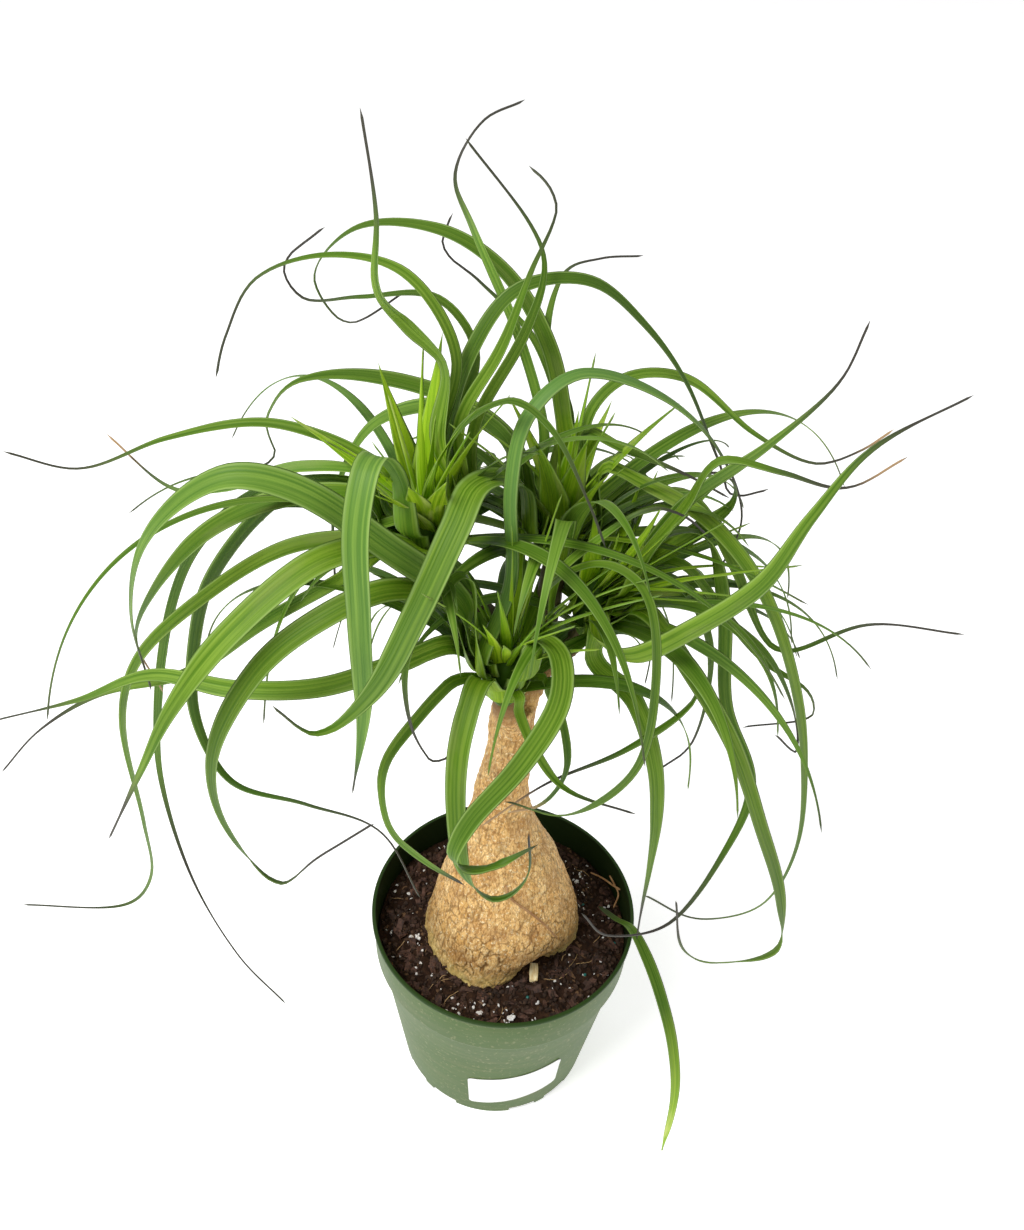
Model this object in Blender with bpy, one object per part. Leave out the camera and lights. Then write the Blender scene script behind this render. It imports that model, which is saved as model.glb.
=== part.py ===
"""Potted ponytail palm: a plastic nursery pot, potting mix, a corky trunk and strap leaves.

Units are metres, +Z is up. The origin is the middle of the pot's base, on the floor.
Sizes below are written in millimetres and turned to metres by MM.
"""
import math

import bmesh
import bpy
import numpy as np
from mathutils import Matrix, Vector

MM = 0.001
GAP = 0.3                        # clearance kept between two pieces that touch

# Pot
POT_HEIGHT = 138.0
RIM_RADIUS = 80.0
BAND_HEIGHT = 30.0               # upright band below the rim
BAND_FOOT_RADIUS = 78.5
WALL_TOP_RADIUS = 75.5           # tapered wall, just below the band
BASE_RADIUS = 61.5
WALL = 1.6
FLOOR = 2.2
POT_SIDES = 80
NOTCH_WIDTH_DEG = 16.5
NOTCH_HEIGHT = 3.3
NOTCH_DEPTH = 7.0
NOTCH_SECTORS = 5                # each sector has two notches with a small foot between
NOTCH_FIRST_DEG = 20.0           # middle of the first notch, from -Y towards +X
NOTCH_PAIR_DEG = 23.0

# Label
LABEL_FROM_DEG, LABEL_TO_DEG = -12.5, 36.0
LABEL_LOW, LABEL_HIGH = 15.0, 53.0
LABEL_RISE = 12.5                # the right edge sits this much higher
LABEL_THICK = 0.3

# Potting mix
SOIL_TOP = 118.0
SOIL_EDGE_DROP = 2.0

# Trunk rings: height, middle in X, radius
TRUNK_RINGS = [
    (92.0, 0.0, 30.0), (98.0, 0.0, 39.5), (106.0, 0.0, 45.0), (114.0, 0.0, 46.8),
    (122.0, 0.0, 46.8), (136.0, 0.5, 44.8), (150.0, 0.0, 41.6), (166.0, -1.0, 37.0),
    (184.0, -2.0, 31.5), (200.0, -4.0, 25.6), (214.0, -5.5, 20.5), (232.0, -6.0, 16.2),
    (250.0, -5.5, 14.2), (272.0, -3.5, 12.3), (292.0, -3.5, 11.6), (308.0, -2.5, 11.0),
]
TRUNK_SIDES = POT_SIDES
CLEFT_DEG, CLEFT_SPREAD_DEG = -54.0, 27.0    # the foot of the base parts in two lobes here
CLEFT_DEPTH = 0.42               # share of the radius, at the mix and below
CLEFT_LOW, CLEFT_TOP = 120.0, 142.0

# Hearts: where each growing tip sits
HEARTS = {
    "front": (-8.0, -24.0, 356.0),
    "left": (-47.0, 0.0, 414.0),
    "top": (13.0, 17.0, 408.0),
    "right": (31.0, 6.0, 374.0),
}
HEART_PROFILE = [(6.5, -15.0), (11.0, -9.0), (12.0, 0.0), (11.0, 8.0), (7.5, 14.0), (3.2, 20.0)]
HEART_POINT = 25.0
HEART_SIDES = 14

# Branches from the top of the neck to each heart, as routes with a radius at each point
BRANCHES = {
    "front": [(-2.5, -4.0, 296.0, 8.0), (-6.0, -16.0, 318.0, 7.0), (-8.0, -24.0, 340.7, 6.2)],
    "right": [(0.0, 2.0, 296.0, 8.5), (7.0, 6.0, 322.0, 7.0), (24.0, 7.0, 343.0, 6.4),
              (31.0, 6.0, 358.7, 6.2)],
    "top": [(6.0, 6.0, 312.0, 7.0), (9.0, 13.0, 345.0, 6.6), (13.0, 17.0, 392.7, 6.0)],
    "left": [(7.0, 8.0, 325.0, 6.0), (-12.0, 9.0, 352.0, 6.4), (-38.0, 3.0, 378.0, 6.2),
             (-47.0, 0.0, 398.7, 6.0)],
}

# Leaves: width, then the places the middle of the blade goes through, heart to tip.
# In each list they run from the lowest, hanging leaves to the upright ones.
LEAVES = {
    "front": [
        (12, [(-19, -52, 368), (-25, -76, 350), (-24, -90, 318), (-18, -96, 288), (-4, -96, 275),
              (9, -92, 288), (8, -84, 310)]),
        (8, [(-30, -34, 352), (-46, -46, 338), (-60, -62, 320), (-56, -78, 300), (-40, -86, 288),
             (-20, -90, 276)]),
        (6, [(-1, -40, 342), (8, -52, 328), (24, -60, 312), (56, -70, 310)]),
        (6, [(10, -26, 346), (20, -34, 330), (24, -42, 305), (14, -46, 285), (-2, -42, 272)]),
        (12, [(5, -44, 388), (14, -60, 392), (14, -74, 378), (0, -86, 354), (-20, -96, 328),
              (-26, -101, 308), (-12, -97, 300), (10, -90, 310)]),
        (10, [(-36, -36, 374), (-56, -46, 370), (-88, -55, 362), (-125, -55, 358), (-165, -46, 355),
              (-205, -40, 330), (-255, -30, 302)]),
        (7, [(-26, -36, 414), (-40, -48, 408), (-50, -58, 385), (-48, -62, 350), (-38, -60, 325),
             (-28, -58, 332)]),
        (13, [(-32, -36, 396), (-55, -50, 413), (-82, -64, 407), (-107, -76, 388),
              (-127, -86, 350), (-127, -90, 310), (-105, -96, 277), (-84, -96, 298),
              (-60, -90, 316)]),
        (15, [(-28, -34, 396), (-58, -42, 428), (-90, -50, 458), (-120, -52, 462),
              (-152, -52, 433), (-168, -48, 388), (-170, -42, 338)]),
        (6, [(8, -30, 404), (28, -42, 428), (46, -56, 424), (54, -66, 385), (50, -76, 345),
             (24, -80, 318), (-5, -85, 330)]),
        (5, [(12, -25, 408), (28, -26, 430), (46, -24, 444), (62, -18, 438), (76, -8, 422)]),
        (9, [(-9, -25, 402), (-11, -26, 450), (-6, -20, 480), (14, -8, 494), (48, 6, 480),
             (78, 20, 450), (98, 30, 408), (90, 32, 366)]),
    ],
    "left": [
        (7, [(-80, -18, 396), (-118, -26, 372), (-158, -24, 336), (-205, -20, 314),
             (-240, -22, 288), (-267, -24, 256)]),
        (8, [(-84, 2, 424), (-112, 2, 420), (-146, 4, 378), (-164, 9, 332), (-172, 8, 275),
             (-155, -2, 236), (-108, -25, 248), (-66, -46, 256), (-44, -60, 222)]),
        (14, [(-64, -34, 424), (-88, -54, 426), (-118, -76, 405), (-140, -88, 376),
              (-158, -92, 340), (-182, -88, 290)]),
        (9, [(-72, -18, 416), (-106, -23, 411), (-143, -28, 385), (-176, -32, 350),
             (-187, -40, 315), (-182, -54, 262), (-184, -58, 222), (-206, -56, 192),
             (-266, -48, 175)]),
        (7, [(-86, 8, 428), (-124, 10, 418), (-156, 14, 385), (-176, 16, 345), (-192, 14, 285),
             (-200, 10, 220), (-188, -5, 150), (-162, -22, 98), (-130, -40, 76)]),
        (11, [(-72, -9, 432), (-106, -12, 430), (-140, -14, 412), (-168, -15, 380),
              (-187, -8, 340), (-184, 2, 296)]),
        (13, [(-56, -22, 448), (-63, -42, 470), (-67, -60, 450), (-66, -68, 410),
              (-66, -70, 362), (-74, -66, 306)]),
        (7, [(-72, 2, 436), (-104, 0, 438), (-136, 0, 425), (-165, 12, 416), (-196, 28, 432)]),
        (9, [(-66, 8, 434), (-92, 12, 446), (-124, 18, 448), (-166, 20, 436), (-206, 16, 420),
             (-236, 10, 430)]),
        (9, [(-36, -14, 462), (-14, -28, 490), (4, -42, 486), (20, -54, 462), (27, -60, 448)]),
        (8, [(-28, 8, 460), (-10, 18, 496), (-3, 32, 518), (-10, 46, 532), (-38, 58, 560)]),
        (6, [(-34, 2, 462), (-18, 6, 496), (-8, 16, 524), (0, 24, 544), (-4, 32, 552),
             (-12, 40, 556)]),
        (11, [(-40, 14, 452), (-32, 24, 484), (-14, 36, 508), (16, 42, 512), (42, 46, 494),
              (66, 46, 468), (86, 38, 435), (92, 30, 424), (106, 20, 434)]),
        (6, [(-38, 20, 452), (-30, 30, 482), (-48, 42, 500), (-84, 62, 490), (-112, 76, 482),
             (-120, 78, 496), (-100, 76, 515)]),
        (9, [(-42, 12, 450), (-36, 18, 486), (-58, 32, 513), (-92, 40, 516), (-122, 34, 506),
             (-134, 20, 484), (-136, 10, 472)]),
        (10, [(-42, -2, 456), (-40, 4, 486), (-54, 8, 500), (-66, 0, 518), (-65, -4, 548),
              (-70, 0, 582)]),
    ],
    "top": [
        (16, [(-6, 2, 436), (-24, -20, 448), (-32, -40, 438), (-46, -62, 410), (-60, -82, 388),
              (-80, -96, 376), (-96, -100, 394)]),
        (11, [(-14, 24, 444), (-42, 30, 456), (-74, 27, 446), (-90, 14, 416), (-90, -2, 376)]),
        (12, [(-12, 32, 438), (-42, 46, 452), (-82, 46, 460), (-112, 42, 456), (-124, 34, 440),
              (-121, 28, 424), (-146, 20, 420)]),
        (12, [(28, 16, 438), (46, 14, 434), (76, 6, 422), (104, -4, 394), (127, -12, 350),
              (143, -20, 300), (150, -30, 246), (138, -40, 208), (105, -46, 200), (70, -58, 234)]),
        (9, [(18, 22, 452), (38, 20, 446), (66, 16, 438), (86, 8, 432)]),
        (10, [(20, 34, 454), (38, 44, 470), (68, 50, 468), (100, 45, 446), (128, 40, 435),
              (145, 36, 444), (156, 30, 460)]),
        (5, [(12, 42, 450), (0, 60, 474), (6, 90, 496), (24, 112, 497), (46, 128, 494)]),
        (7, [(12, 48, 442), (-4, 74, 470), (-32, 98, 487), (-50, 108, 498), (-46, 110, 514)]),
        (14, [(14, 34, 444), (4, 54, 474), (-18, 78, 498), (-50, 96, 510), (-90, 106, 506),
              (-114, 110, 480), (-98, 106, 458), (-66, 100, 480)]),
        (8, [(2, 30, 448), (-12, 42, 486), (-34, 60, 524), (-44, 86, 538), (-34, 102, 556),
             (-16, 120, 562)]),
    ],
    "right": [
        (11, [(34, -12, 350), (54, -20, 334), (68, -28, 300), (74, -32, 262), (76, -32, 222),
              (77, -30, 186), (79, -26, 148)]),
        (5, [(56, -10, 362), (78, -20, 356), (80, -26, 340), (52, -32, 312), (16, -42, 296),
             (-15, -60, 282)]),
        (7, [(66, 4, 388), (86, 2, 362), (92, -4, 332), (88, -12, 298), (74, -14, 280)]),
        (14, [(52, -14, 384), (78, -30, 358), (100, -42, 328), (118, -54, 290), (136, -62, 246),
              (140, -70, 212), (108, -76, 206), (90, -78, 220), (80, -80, 262)]),
        (7, [(64, 4, 392), (90, 2, 374), (118, -2, 352), (136, -8, 322), (140, -15, 302),
             (125, -20, 318)]),
        (7, [(66, 6, 396), (94, 6, 366), (120, 4, 340), (142, 0, 328), (146, -4, 314),
             (116, 4, 296)]),
        (8, [(56, 4, 410), (76, 2, 416), (90, -4, 382), (100, -12, 328), (120, -22, 282),
             (110, -36, 238), (86, -58, 212), (52, -76, 224), (36, -82, 250)]),
        (11, [(34, -24, 372), (46, -42, 380), (66, -52, 404), (88, -60, 436), (100, -60, 468),
              (118, -50, 492), (156, -30, 506)]),
        (10, [(50, 14, 420), (72, 16, 424), (96, 12, 392), (116, 4, 356), (128, -2, 354),
              (156, -10, 380), (195, -20, 386)]),
        (11, [(54, 12, 392), (76, 12, 412), (87, 8, 430), (80, 4, 444), (68, 0, 446)]),
        (10, [(50, -4, 406), (63, -10, 438), (72, -16, 464), (96, -18, 462), (126, -14, 454),
              (150, -6, 466)]),
        (9, [(50, 0, 404), (64, -4, 436), (94, 0, 464), (116, 2, 492), (121, 0, 520)]),
    ],
}
# A fallen leaf: its broad pale foot hangs outside, its end lies in the pot
LOOSE_LEAF = [(108, -88, 20), (108, -79, 74), (102, -67, 110), (93, -51, 133), (85, -34, 143),
              (77, -15, 143), (69, -1, 132), (60, 14, 123)]
LOOSE_WIDTHS = [(0.0, 4.0), (0.12, 9.5), (0.3, 11.5), (0.7, 10.5), (1.0, 4.0)]
BLADE_THICK = 0.9
BASE_WIDTH = 4.0                 # a blade's width where it leaves the heart
FULL_AFTER = 38.0                # how far along a blade reaches its full width
FULL_TO = 0.50                   # share of the blade after which it narrows again
WIDE_TO = {"leaf_front_01": 0.66, "leaf_front_05": 0.84, "leaf_left_07": 0.7,
           "leaf_top_01": 0.7, "leaf_right_04": 0.6}   # leaves that stay wide for longer
TIP_POWER = 1.25
TIP_WIDTH = 0.9
RING_STEP = 7.0                  # distance between two rings of a blade
FRONT = (0.0, -0.78, 0.63)       # the side that blades turn towards, where they are free to
TIERS = 3                        # rows of leaf bases on a heart
TIER_STEP = 7.5
BASE_SPACING_DEG = 27.0
STIFFNESS = 0.35                 # how far a blade that gives way bends as a whole
FOLD_FROM = 0.4                  # turn between rings, in radians, from which a blade folds flat
FOLD_HOLD = 2.5

# Wood chips on the mix: middle in X and Y, length, width, thickness, turn
CHIPS = {
    "wood_chip": (20.5, -34.0, 9.0, 4.4, 2.4, 82.0),
}

COLOURS = {                      # linear colour, roughness
    "pot_plastic": ((0.045, 0.075, 0.045), 0.55),
    "label_paper": ((0.80, 0.80, 0.78), 0.6),
    "potting_mix": ((0.012, 0.008, 0.006), 0.95),
    "cork_bark": ((0.38, 0.22, 0.09), 0.85),
    "leaf_green": ((0.07, 0.17, 0.025), 0.5),
    "young_leaf": ((0.28, 0.42, 0.03), 0.5),
    "wood": ((0.45, 0.26, 0.12), 0.8),
}


def material(name):
    """The named Principled material, made on first use."""
    found = bpy.data.materials.get(name)
    if found:
        return found
    colour, rough = COLOURS[name]
    new = bpy.data.materials.new(name)
    new.use_nodes = True
    shader = new.node_tree.nodes["Principled BSDF"]
    shader.inputs["Base Color"].default_value = (*colour, 1.0)
    shader.inputs["Roughness"].default_value = rough
    shader.inputs["Metallic"].default_value = 0.0
    return new


def add_object(name, bm, finish, parent=None, smooth=True):
    """Turn a closed bmesh in millimetres into a named object in metres, faces outward."""
    bmesh.ops.scale(bm, vec=(MM, MM, MM), verts=bm.verts)
    if bm.calc_volume(signed=True) < 0:
        bmesh.ops.reverse_faces(bm, faces=bm.faces)
    mesh = bpy.data.meshes.new(name)
    bm.to_mesh(mesh)
    bm.free()
    if smooth:
        mesh.shade_smooth()
        mesh.set_sharp_from_angle(angle=math.radians(40))
    obj = bpy.data.objects.new(name, mesh)
    bpy.context.collection.objects.link(obj)
    mesh.materials.append(material(finish))
    obj.parent = parent
    return obj


def boolean(obj, cutter, operation):
    """Cut obj by another object, or join that object to it."""
    cutter.hide_render = True
    cutter.display_type = "WIRE"
    mod = obj.modifiers.new(operation.lower(), "BOOLEAN")
    mod.object = cutter
    mod.operation = operation
    mod.solver = "EXACT"


def lathe(profile, sides, centre=(0.0, 0.0)):
    """A closed solid turned about a vertical axis, from (radius, height) points, axis to axis."""
    bm = bmesh.new()
    rings = []
    for radius, height in profile:
        if radius == 0.0:
            rings.append([bm.verts.new((centre[0], centre[1], height))])
            continue
        ring = []
        for k in range(sides):
            turn = 2 * math.pi * k / sides
            ring.append(bm.verts.new((centre[0] + radius * math.cos(turn),
                                      centre[1] + radius * math.sin(turn), height)))
        rings.append(ring)
    for low, high in zip(rings, rings[1:]):
        join_rings(bm, low, high)
    return bm


def join_rings(bm, low, high):
    """Faces between two rings, either of which may be a single point."""
    count = max(len(low), len(high))
    for k in range(count):
        corners = [low[k % len(low)], low[(k + 1) % count % len(low)],
                   high[(k + 1) % count % len(high)], high[k % len(high)]]
        kept = []
        for corner in corners:
            if corner not in kept:
                kept.append(corner)
        bm.faces.new(kept)


def wall_radius(height):
    """Outer radius of the tapered wall at a height."""
    share = height / (POT_HEIGHT - BAND_HEIGHT)
    return BASE_RADIUS + (WALL_TOP_RADIUS - BASE_RADIUS) * share


# ---------------------------------------------------------------- pot

def make_pot(parent):
    band_foot = POT_HEIGHT - BAND_HEIGHT
    profile = [
        (0.0, 0.0), (BASE_RADIUS - 1.0, 0.0), (wall_radius(1.0), 1.0),
        (WALL_TOP_RADIUS, band_foot), (BAND_FOOT_RADIUS, band_foot + 1.2),
        (RIM_RADIUS - 0.9, POT_HEIGHT - 3.0), (RIM_RADIUS, POT_HEIGHT - 2.4),
        (RIM_RADIUS, POT_HEIGHT - 0.5), (RIM_RADIUS - 0.5, POT_HEIGHT),
        (RIM_RADIUS - WALL - 0.4, POT_HEIGHT), (RIM_RADIUS - WALL - 0.9, POT_HEIGHT - 0.6),
        (BAND_FOOT_RADIUS - WALL, band_foot + 2.4), (WALL_TOP_RADIUS - WALL, band_foot - 1.0),
        (wall_radius(FLOOR) - WALL, FLOOR), (0.0, FLOOR),
    ]
    pot = add_object("pot", lathe(profile, POT_SIDES), "pot_plastic", parent)
    cutters = bmesh.new()
    for sector in range(NOTCH_SECTORS):
        for pair in (0, 1):
            turn = NOTCH_FIRST_DEG + pair * NOTCH_PAIR_DEG + sector * 360 / NOTCH_SECTORS
            add_notch(cutters, math.radians(turn))
    boolean(pot, add_object("notch_cutter", cutters, "pot_plastic", smooth=False), "DIFFERENCE")
    return pot


def add_notch(bm, turn):
    """One drain notch: a low block through the foot of the wall, turned from -Y towards +X."""
    half_width = BASE_RADIUS * math.radians(NOTCH_WIDTH_DEG) / 2
    outward = Vector((math.sin(turn), -math.cos(turn), 0.0))
    middle = outward * (BASE_RADIUS - NOTCH_DEPTH / 2 + 2.0)
    place = Matrix.Translation(middle) @ Matrix.Rotation(turn, 4, "Z")
    made = bmesh.ops.create_cube(bm, size=1.0, matrix=place)
    size = Vector((2 * half_width, NOTCH_DEPTH + 4.0, 2 * NOTCH_HEIGHT))
    bmesh.ops.scale(bm, vec=size, space=place.inverted(), verts=made["verts"])


def make_label(parent):
    """A thin bare paper rectangle bent round the wall, its right end higher."""
    bm = bmesh.new()
    columns, rows = 14, 4
    layers = []
    for offset in (GAP, GAP + LABEL_THICK):
        grid = []
        for row in range(rows + 1):
            line = []
            for column in range(columns + 1):
                share = column / columns
                turn = math.radians(LABEL_FROM_DEG + (LABEL_TO_DEG - LABEL_FROM_DEG) * share)
                height = (LABEL_LOW + (LABEL_HIGH - LABEL_LOW) * row / rows) + LABEL_RISE * share
                radius = wall_radius(height) + offset
                line.append(bm.verts.new((radius * math.sin(turn), -radius * math.cos(turn),
                                          height)))
            grid.append(line)
        layers.append(grid)
    for grid in layers:
        for row in range(rows):
            for column in range(columns):
                bm.faces.new((grid[row][column], grid[row][column + 1],
                              grid[row + 1][column + 1], grid[row + 1][column]))
    inner, outer = layers
    edge = [(0, c) for c in range(columns)] + [(r, columns) for r in range(rows)]
    edge += [(rows, c) for c in range(columns, 0, -1)] + [(r, 0) for r in range(rows, 0, -1)]
    for here, after in zip(edge, edge[1:] + edge[:1]):
        bm.faces.new((inner[here[0]][here[1]], inner[after[0]][after[1]],
                      outer[after[0]][after[1]], outer[here[0]][here[1]]))
    bmesh.ops.recalc_face_normals(bm, faces=bm.faces)
    return add_object("label", bm, "label_paper", parent)


# ---------------------------------------------------------------- mix and chips

def make_soil(parent):
    """The mix: fills the pot, with a socket that the swollen trunk base sits in."""
    bottom = FLOOR + GAP
    band_foot = POT_HEIGHT - BAND_HEIGHT
    edge = BAND_FOOT_RADIUS - WALL - GAP
    profile = [(0.0, bottom), (wall_radius(bottom) - WALL - GAP - 0.2, bottom)]
    profile += [(WALL_TOP_RADIUS - WALL - GAP - 0.1, band_foot - 1.4), (edge, band_foot + 2.6)]
    profile += [(edge, SOIL_TOP - SOIL_EDGE_DROP), (edge - 9.0, SOIL_TOP - 0.4)]
    bm = lathe(profile, POT_SIDES)
    bm.verts.ensure_lookup_table()
    rings = [list(bm.verts)[-POT_SIDES:]]
    buried = [ring for ring in TRUNK_RINGS if ring[0] < SOIL_TOP]
    heights = [SOIL_TOP, SOIL_TOP - 0.6] + [ring[0] for ring in reversed(buried)]
    radii = [buried[-1][2] + 3.0] + [buried[-1][2]] + [ring[2] for ring in reversed(buried)]
    heights[-1] -= GAP
    for height, radius in zip(heights, radii):
        rings.append([bm.verts.new(trunk_point(radius, 0.0, height, k / POT_SIDES, GAP))
                      for k in range(POT_SIDES)])
    for high, low in zip(rings, rings[1:]):
        join_rings(bm, high, low)
    bm.faces.new(rings[-1])
    return add_object("soil", bm, "potting_mix", parent)


def make_chip(name, parent):
    """A flat splinter of wood with broken ends."""
    x, y, length, width, thick, turn = CHIPS[name]
    bm = bmesh.new()
    bmesh.ops.create_cube(bm, size=1.0)
    bmesh.ops.scale(bm, vec=(length, width, thick), verts=bm.verts)
    bmesh.ops.subdivide_edges(bm, edges=bm.edges[:], cuts=1, use_grid_fill=True)
    for vert in bm.verts:
        along = vert.co.x / length
        vert.co.y *= 1.0 - 0.5 * abs(along) * (1.0 + 0.6 * math.sin(7.0 * vert.co.y + x))
        vert.co.x += 0.9 * math.sin(2.3 * vert.co.y + y)
    low = min(vert.co.z for vert in bm.verts)
    place = Matrix.Translation((x, y, SOIL_TOP + GAP - low)) @ Matrix.Rotation(
        math.radians(turn), 4, "Z")
    bmesh.ops.transform(bm, matrix=place, verts=bm.verts)
    return add_object(name, bm, "wood", parent, smooth=False)


# ---------------------------------------------------------------- trunk and hearts

def tube(points, sides):
    """A closed tube with flat ends through (x, y, z, radius) points, ends square to Z."""
    bm = bmesh.new()
    route = smooth_route([p[:3] for p in points], 12)
    radii = np.interp(np.linspace(0, 1, len(route)), np.linspace(0, 1, len(points)),
                      [p[3] for p in points])
    rings = []
    for middle, radius in zip(route, radii):
        rings.append([bm.verts.new((middle[0] + radius * math.cos(2 * math.pi * k / sides),
                                    middle[1] + radius * math.sin(2 * math.pi * k / sides),
                                    middle[2])) for k in range(sides)])
    for low, high in zip(rings, rings[1:]):
        join_rings(bm, low, high)
    bm.faces.new(reversed(rings[0]))
    bm.faces.new(rings[-1])
    return bm


def trunk_point(radius, x, height, share, clearance=0.0):
    """A point round the trunk; low down a cleft at the front parts the foot in two lobes."""
    turn = 2 * math.pi * share
    off = (turn - math.radians(CLEFT_DEG) + math.pi) % (2 * math.pi) - math.pi
    fade = min(max((CLEFT_TOP - height) / (CLEFT_TOP - CLEFT_LOW), 0.0), 1.0)
    fade = fade * fade * (3 - 2 * fade)
    cleft = CLEFT_DEPTH * fade * math.exp(-(off / math.radians(CLEFT_SPREAD_DEG)) ** 2)
    reach = radius * (1 - cleft) + clearance
    return (x + reach * math.cos(turn), reach * math.sin(turn), height)


def make_trunk(parent):
    """Swollen base, neck and branches: one grown piece."""
    bm = bmesh.new()
    rings = []
    for height, x, radius in TRUNK_RINGS:
        rings.append([bm.verts.new(trunk_point(radius, x, height, k / TRUNK_SIDES))
                      for k in range(TRUNK_SIDES)])
    for low, high in zip(rings, rings[1:]):
        join_rings(bm, low, high)
    bm.faces.new(reversed(rings[0]))
    bm.faces.new(rings[-1])
    trunk = add_object("trunk", bm, "cork_bark", parent)
    for side, points in BRANCHES.items():
        branch = add_object(f"branch_{side}", tube(points, 14), "cork_bark")
        boolean(trunk, branch, "UNION")
    return trunk


def heart_radius(height):
    """Radius of a heart at a height above its middle."""
    heights = [h for _, h in HEART_PROFILE]
    return float(np.interp(height, heights, [r for r, _ in HEART_PROFILE]))


def make_heart(side, parent):
    """The tight bundle of young leaves that a crown grows from."""
    x, y, z = HEARTS[side]
    profile = [(0.0, z + HEART_PROFILE[0][1])]
    profile += [(radius, z + height) for radius, height in HEART_PROFILE]
    profile += [(0.0, z + HEART_POINT)]
    return add_object(f"heart_{side}", lathe(profile, HEART_SIDES, (x, y)), "young_leaf", parent)


# ---------------------------------------------------------------- leaves

def unit(vectors):
    """Each row scaled to length one."""
    size = np.linalg.norm(vectors, axis=-1, keepdims=True)
    return vectors / np.maximum(size, 1e-9)


def smooth_route(places, count):
    """Points spread evenly along a smooth curve through the places."""
    places = np.array(places, float)
    ends = np.vstack([2 * places[0] - places[1], places, 2 * places[-1] - places[-2]])
    knots = np.concatenate([[0], np.cumsum(np.linalg.norm(np.diff(ends, axis=0), axis=1) ** 0.5)])
    slopes = (ends[2:] - ends[:-2]) / (knots[2:] - knots[:-2])[:, None]
    curve = []
    for k in range(len(places) - 1):
        span = knots[k + 2] - knots[k + 1]
        for t in np.linspace(0, 1, 16, endpoint=False):
            curve.append((2 * t ** 3 - 3 * t ** 2 + 1) * places[k]
                         + (t ** 3 - 2 * t ** 2 + t) * span * slopes[k]
                         + (3 * t ** 2 - 2 * t ** 3) * places[k + 1]
                         + (t ** 3 - t ** 2) * span * slopes[k + 1])
    curve.append(places[-1])
    curve = np.array(curve)
    run = np.concatenate([[0], np.cumsum(np.linalg.norm(np.diff(curve, axis=0), axis=1))])
    even = np.linspace(0, run[-1], count)
    return np.stack([np.interp(even, run, curve[:, k]) for k in range(3)], axis=1)


def base_places(side):
    """Where each leaf of a heart starts: its turn about the heart and its height on it."""
    x, y, _ = HEARTS[side]
    starts = []
    for index, (_, places) in enumerate(LEAVES[side]):
        turn = math.atan2(places[0][1] - y, places[0][0] - x)
        starts.append([turn, index * TIERS // len(LEAVES[side])])
    spacing = math.radians(BASE_SPACING_DEG)
    for _ in range(200):
        for one in starts:
            for other in starts:
                apart = (other[0] - one[0] + math.pi) % (2 * math.pi) - math.pi
                if one is not other and one[1] == other[1] and abs(apart) < spacing:
                    push = (spacing - abs(apart)) / 4 * (1 if apart >= 0 else -1)
                    one[0] -= push
                    other[0] += push
    return [(turn, (tier - (TIERS - 1) / 2) * TIER_STEP) for turn, tier in starts]


def blade_widths(full, count, full_to):
    """Width of a blade at each ring: narrow at the heart, full, then a long fine point."""
    along = np.linspace(0, 1, count)
    base = min(BASE_WIDTH / full, 1.0)
    rise = base + (1 - base) * np.clip(np.arange(count) * RING_STEP / FULL_AFTER, 0, 1)
    fall = (1 - np.clip((along - full_to) / (1 - full_to), 0, 1)) ** TIP_POWER
    return np.maximum(full * rise * fall, TIP_WIDTH)


def make_blade(side, width, places, turn, height, full_to=FULL_TO):
    """Ring middles, across directions and widths of one leaf."""
    x, y, z = HEARTS[side]
    outward = np.array([math.cos(turn), math.sin(turn), 0.0])
    reach = heart_radius(height) + GAP + BLADE_THICK / 2 + 0.2
    start = np.array([x, y, z + height]) + outward * reach
    rise = 2.0 if places[0][2] < z + 10 else 6.0
    lift = start + outward * 6.0 + np.array([0.0, 0.0, rise])
    route = [start, lift] + list(places)
    length = np.linalg.norm(np.diff(np.array(route), axis=0), axis=1).sum()
    count = max(int(length / RING_STEP), 10)
    middles = smooth_route(route, count)
    tangents = unit(np.gradient(middles, axis=0))
    flat = np.linalg.svd(middles - middles.mean(axis=0))[2][2]
    bend_across = unit(flat - (tangents @ flat)[:, None] * tangents)
    front_across = np.cross(tangents, np.array(FRONT))
    if (bend_across * front_across).sum() < 0:
        bend_across = -bend_across
    across = 0.5 * bend_across + 0.6 * front_across
    before, after = tangents[:-2], tangents[2:]
    folding = np.cross(before, after)
    angle = np.arctan2(np.linalg.norm(folding, axis=1), (before * after).sum(axis=1))
    crease = unit(folding + 1e-9)
    crease *= np.where((crease * across[1:-1]).sum(axis=1) < 0, -1.0, 1.0)[:, None]
    across[1:-1] += crease * np.clip((angle - FOLD_FROM) / 0.6, 0, 1)[:, None] * FOLD_HOLD
    around = np.cross([0.0, 0.0, 1.0], outward)
    if (around * across[:6]).sum() < 0:
        around = -around
    hold = np.clip(1 - np.arange(count) * RING_STEP / 30.0, 0, 1)[:, None]
    across = hold * around + (1 - hold) * across
    for _ in range(4):
        across[1:-1] = (across[:-2] + 2 * across[1:-1] + across[2:]) / 4
    across[-2:] = across[-3]
    return {"middles": middles, "rest": middles.copy(), "across": across,
            "widths": blade_widths(width, count, full_to)}


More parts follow.
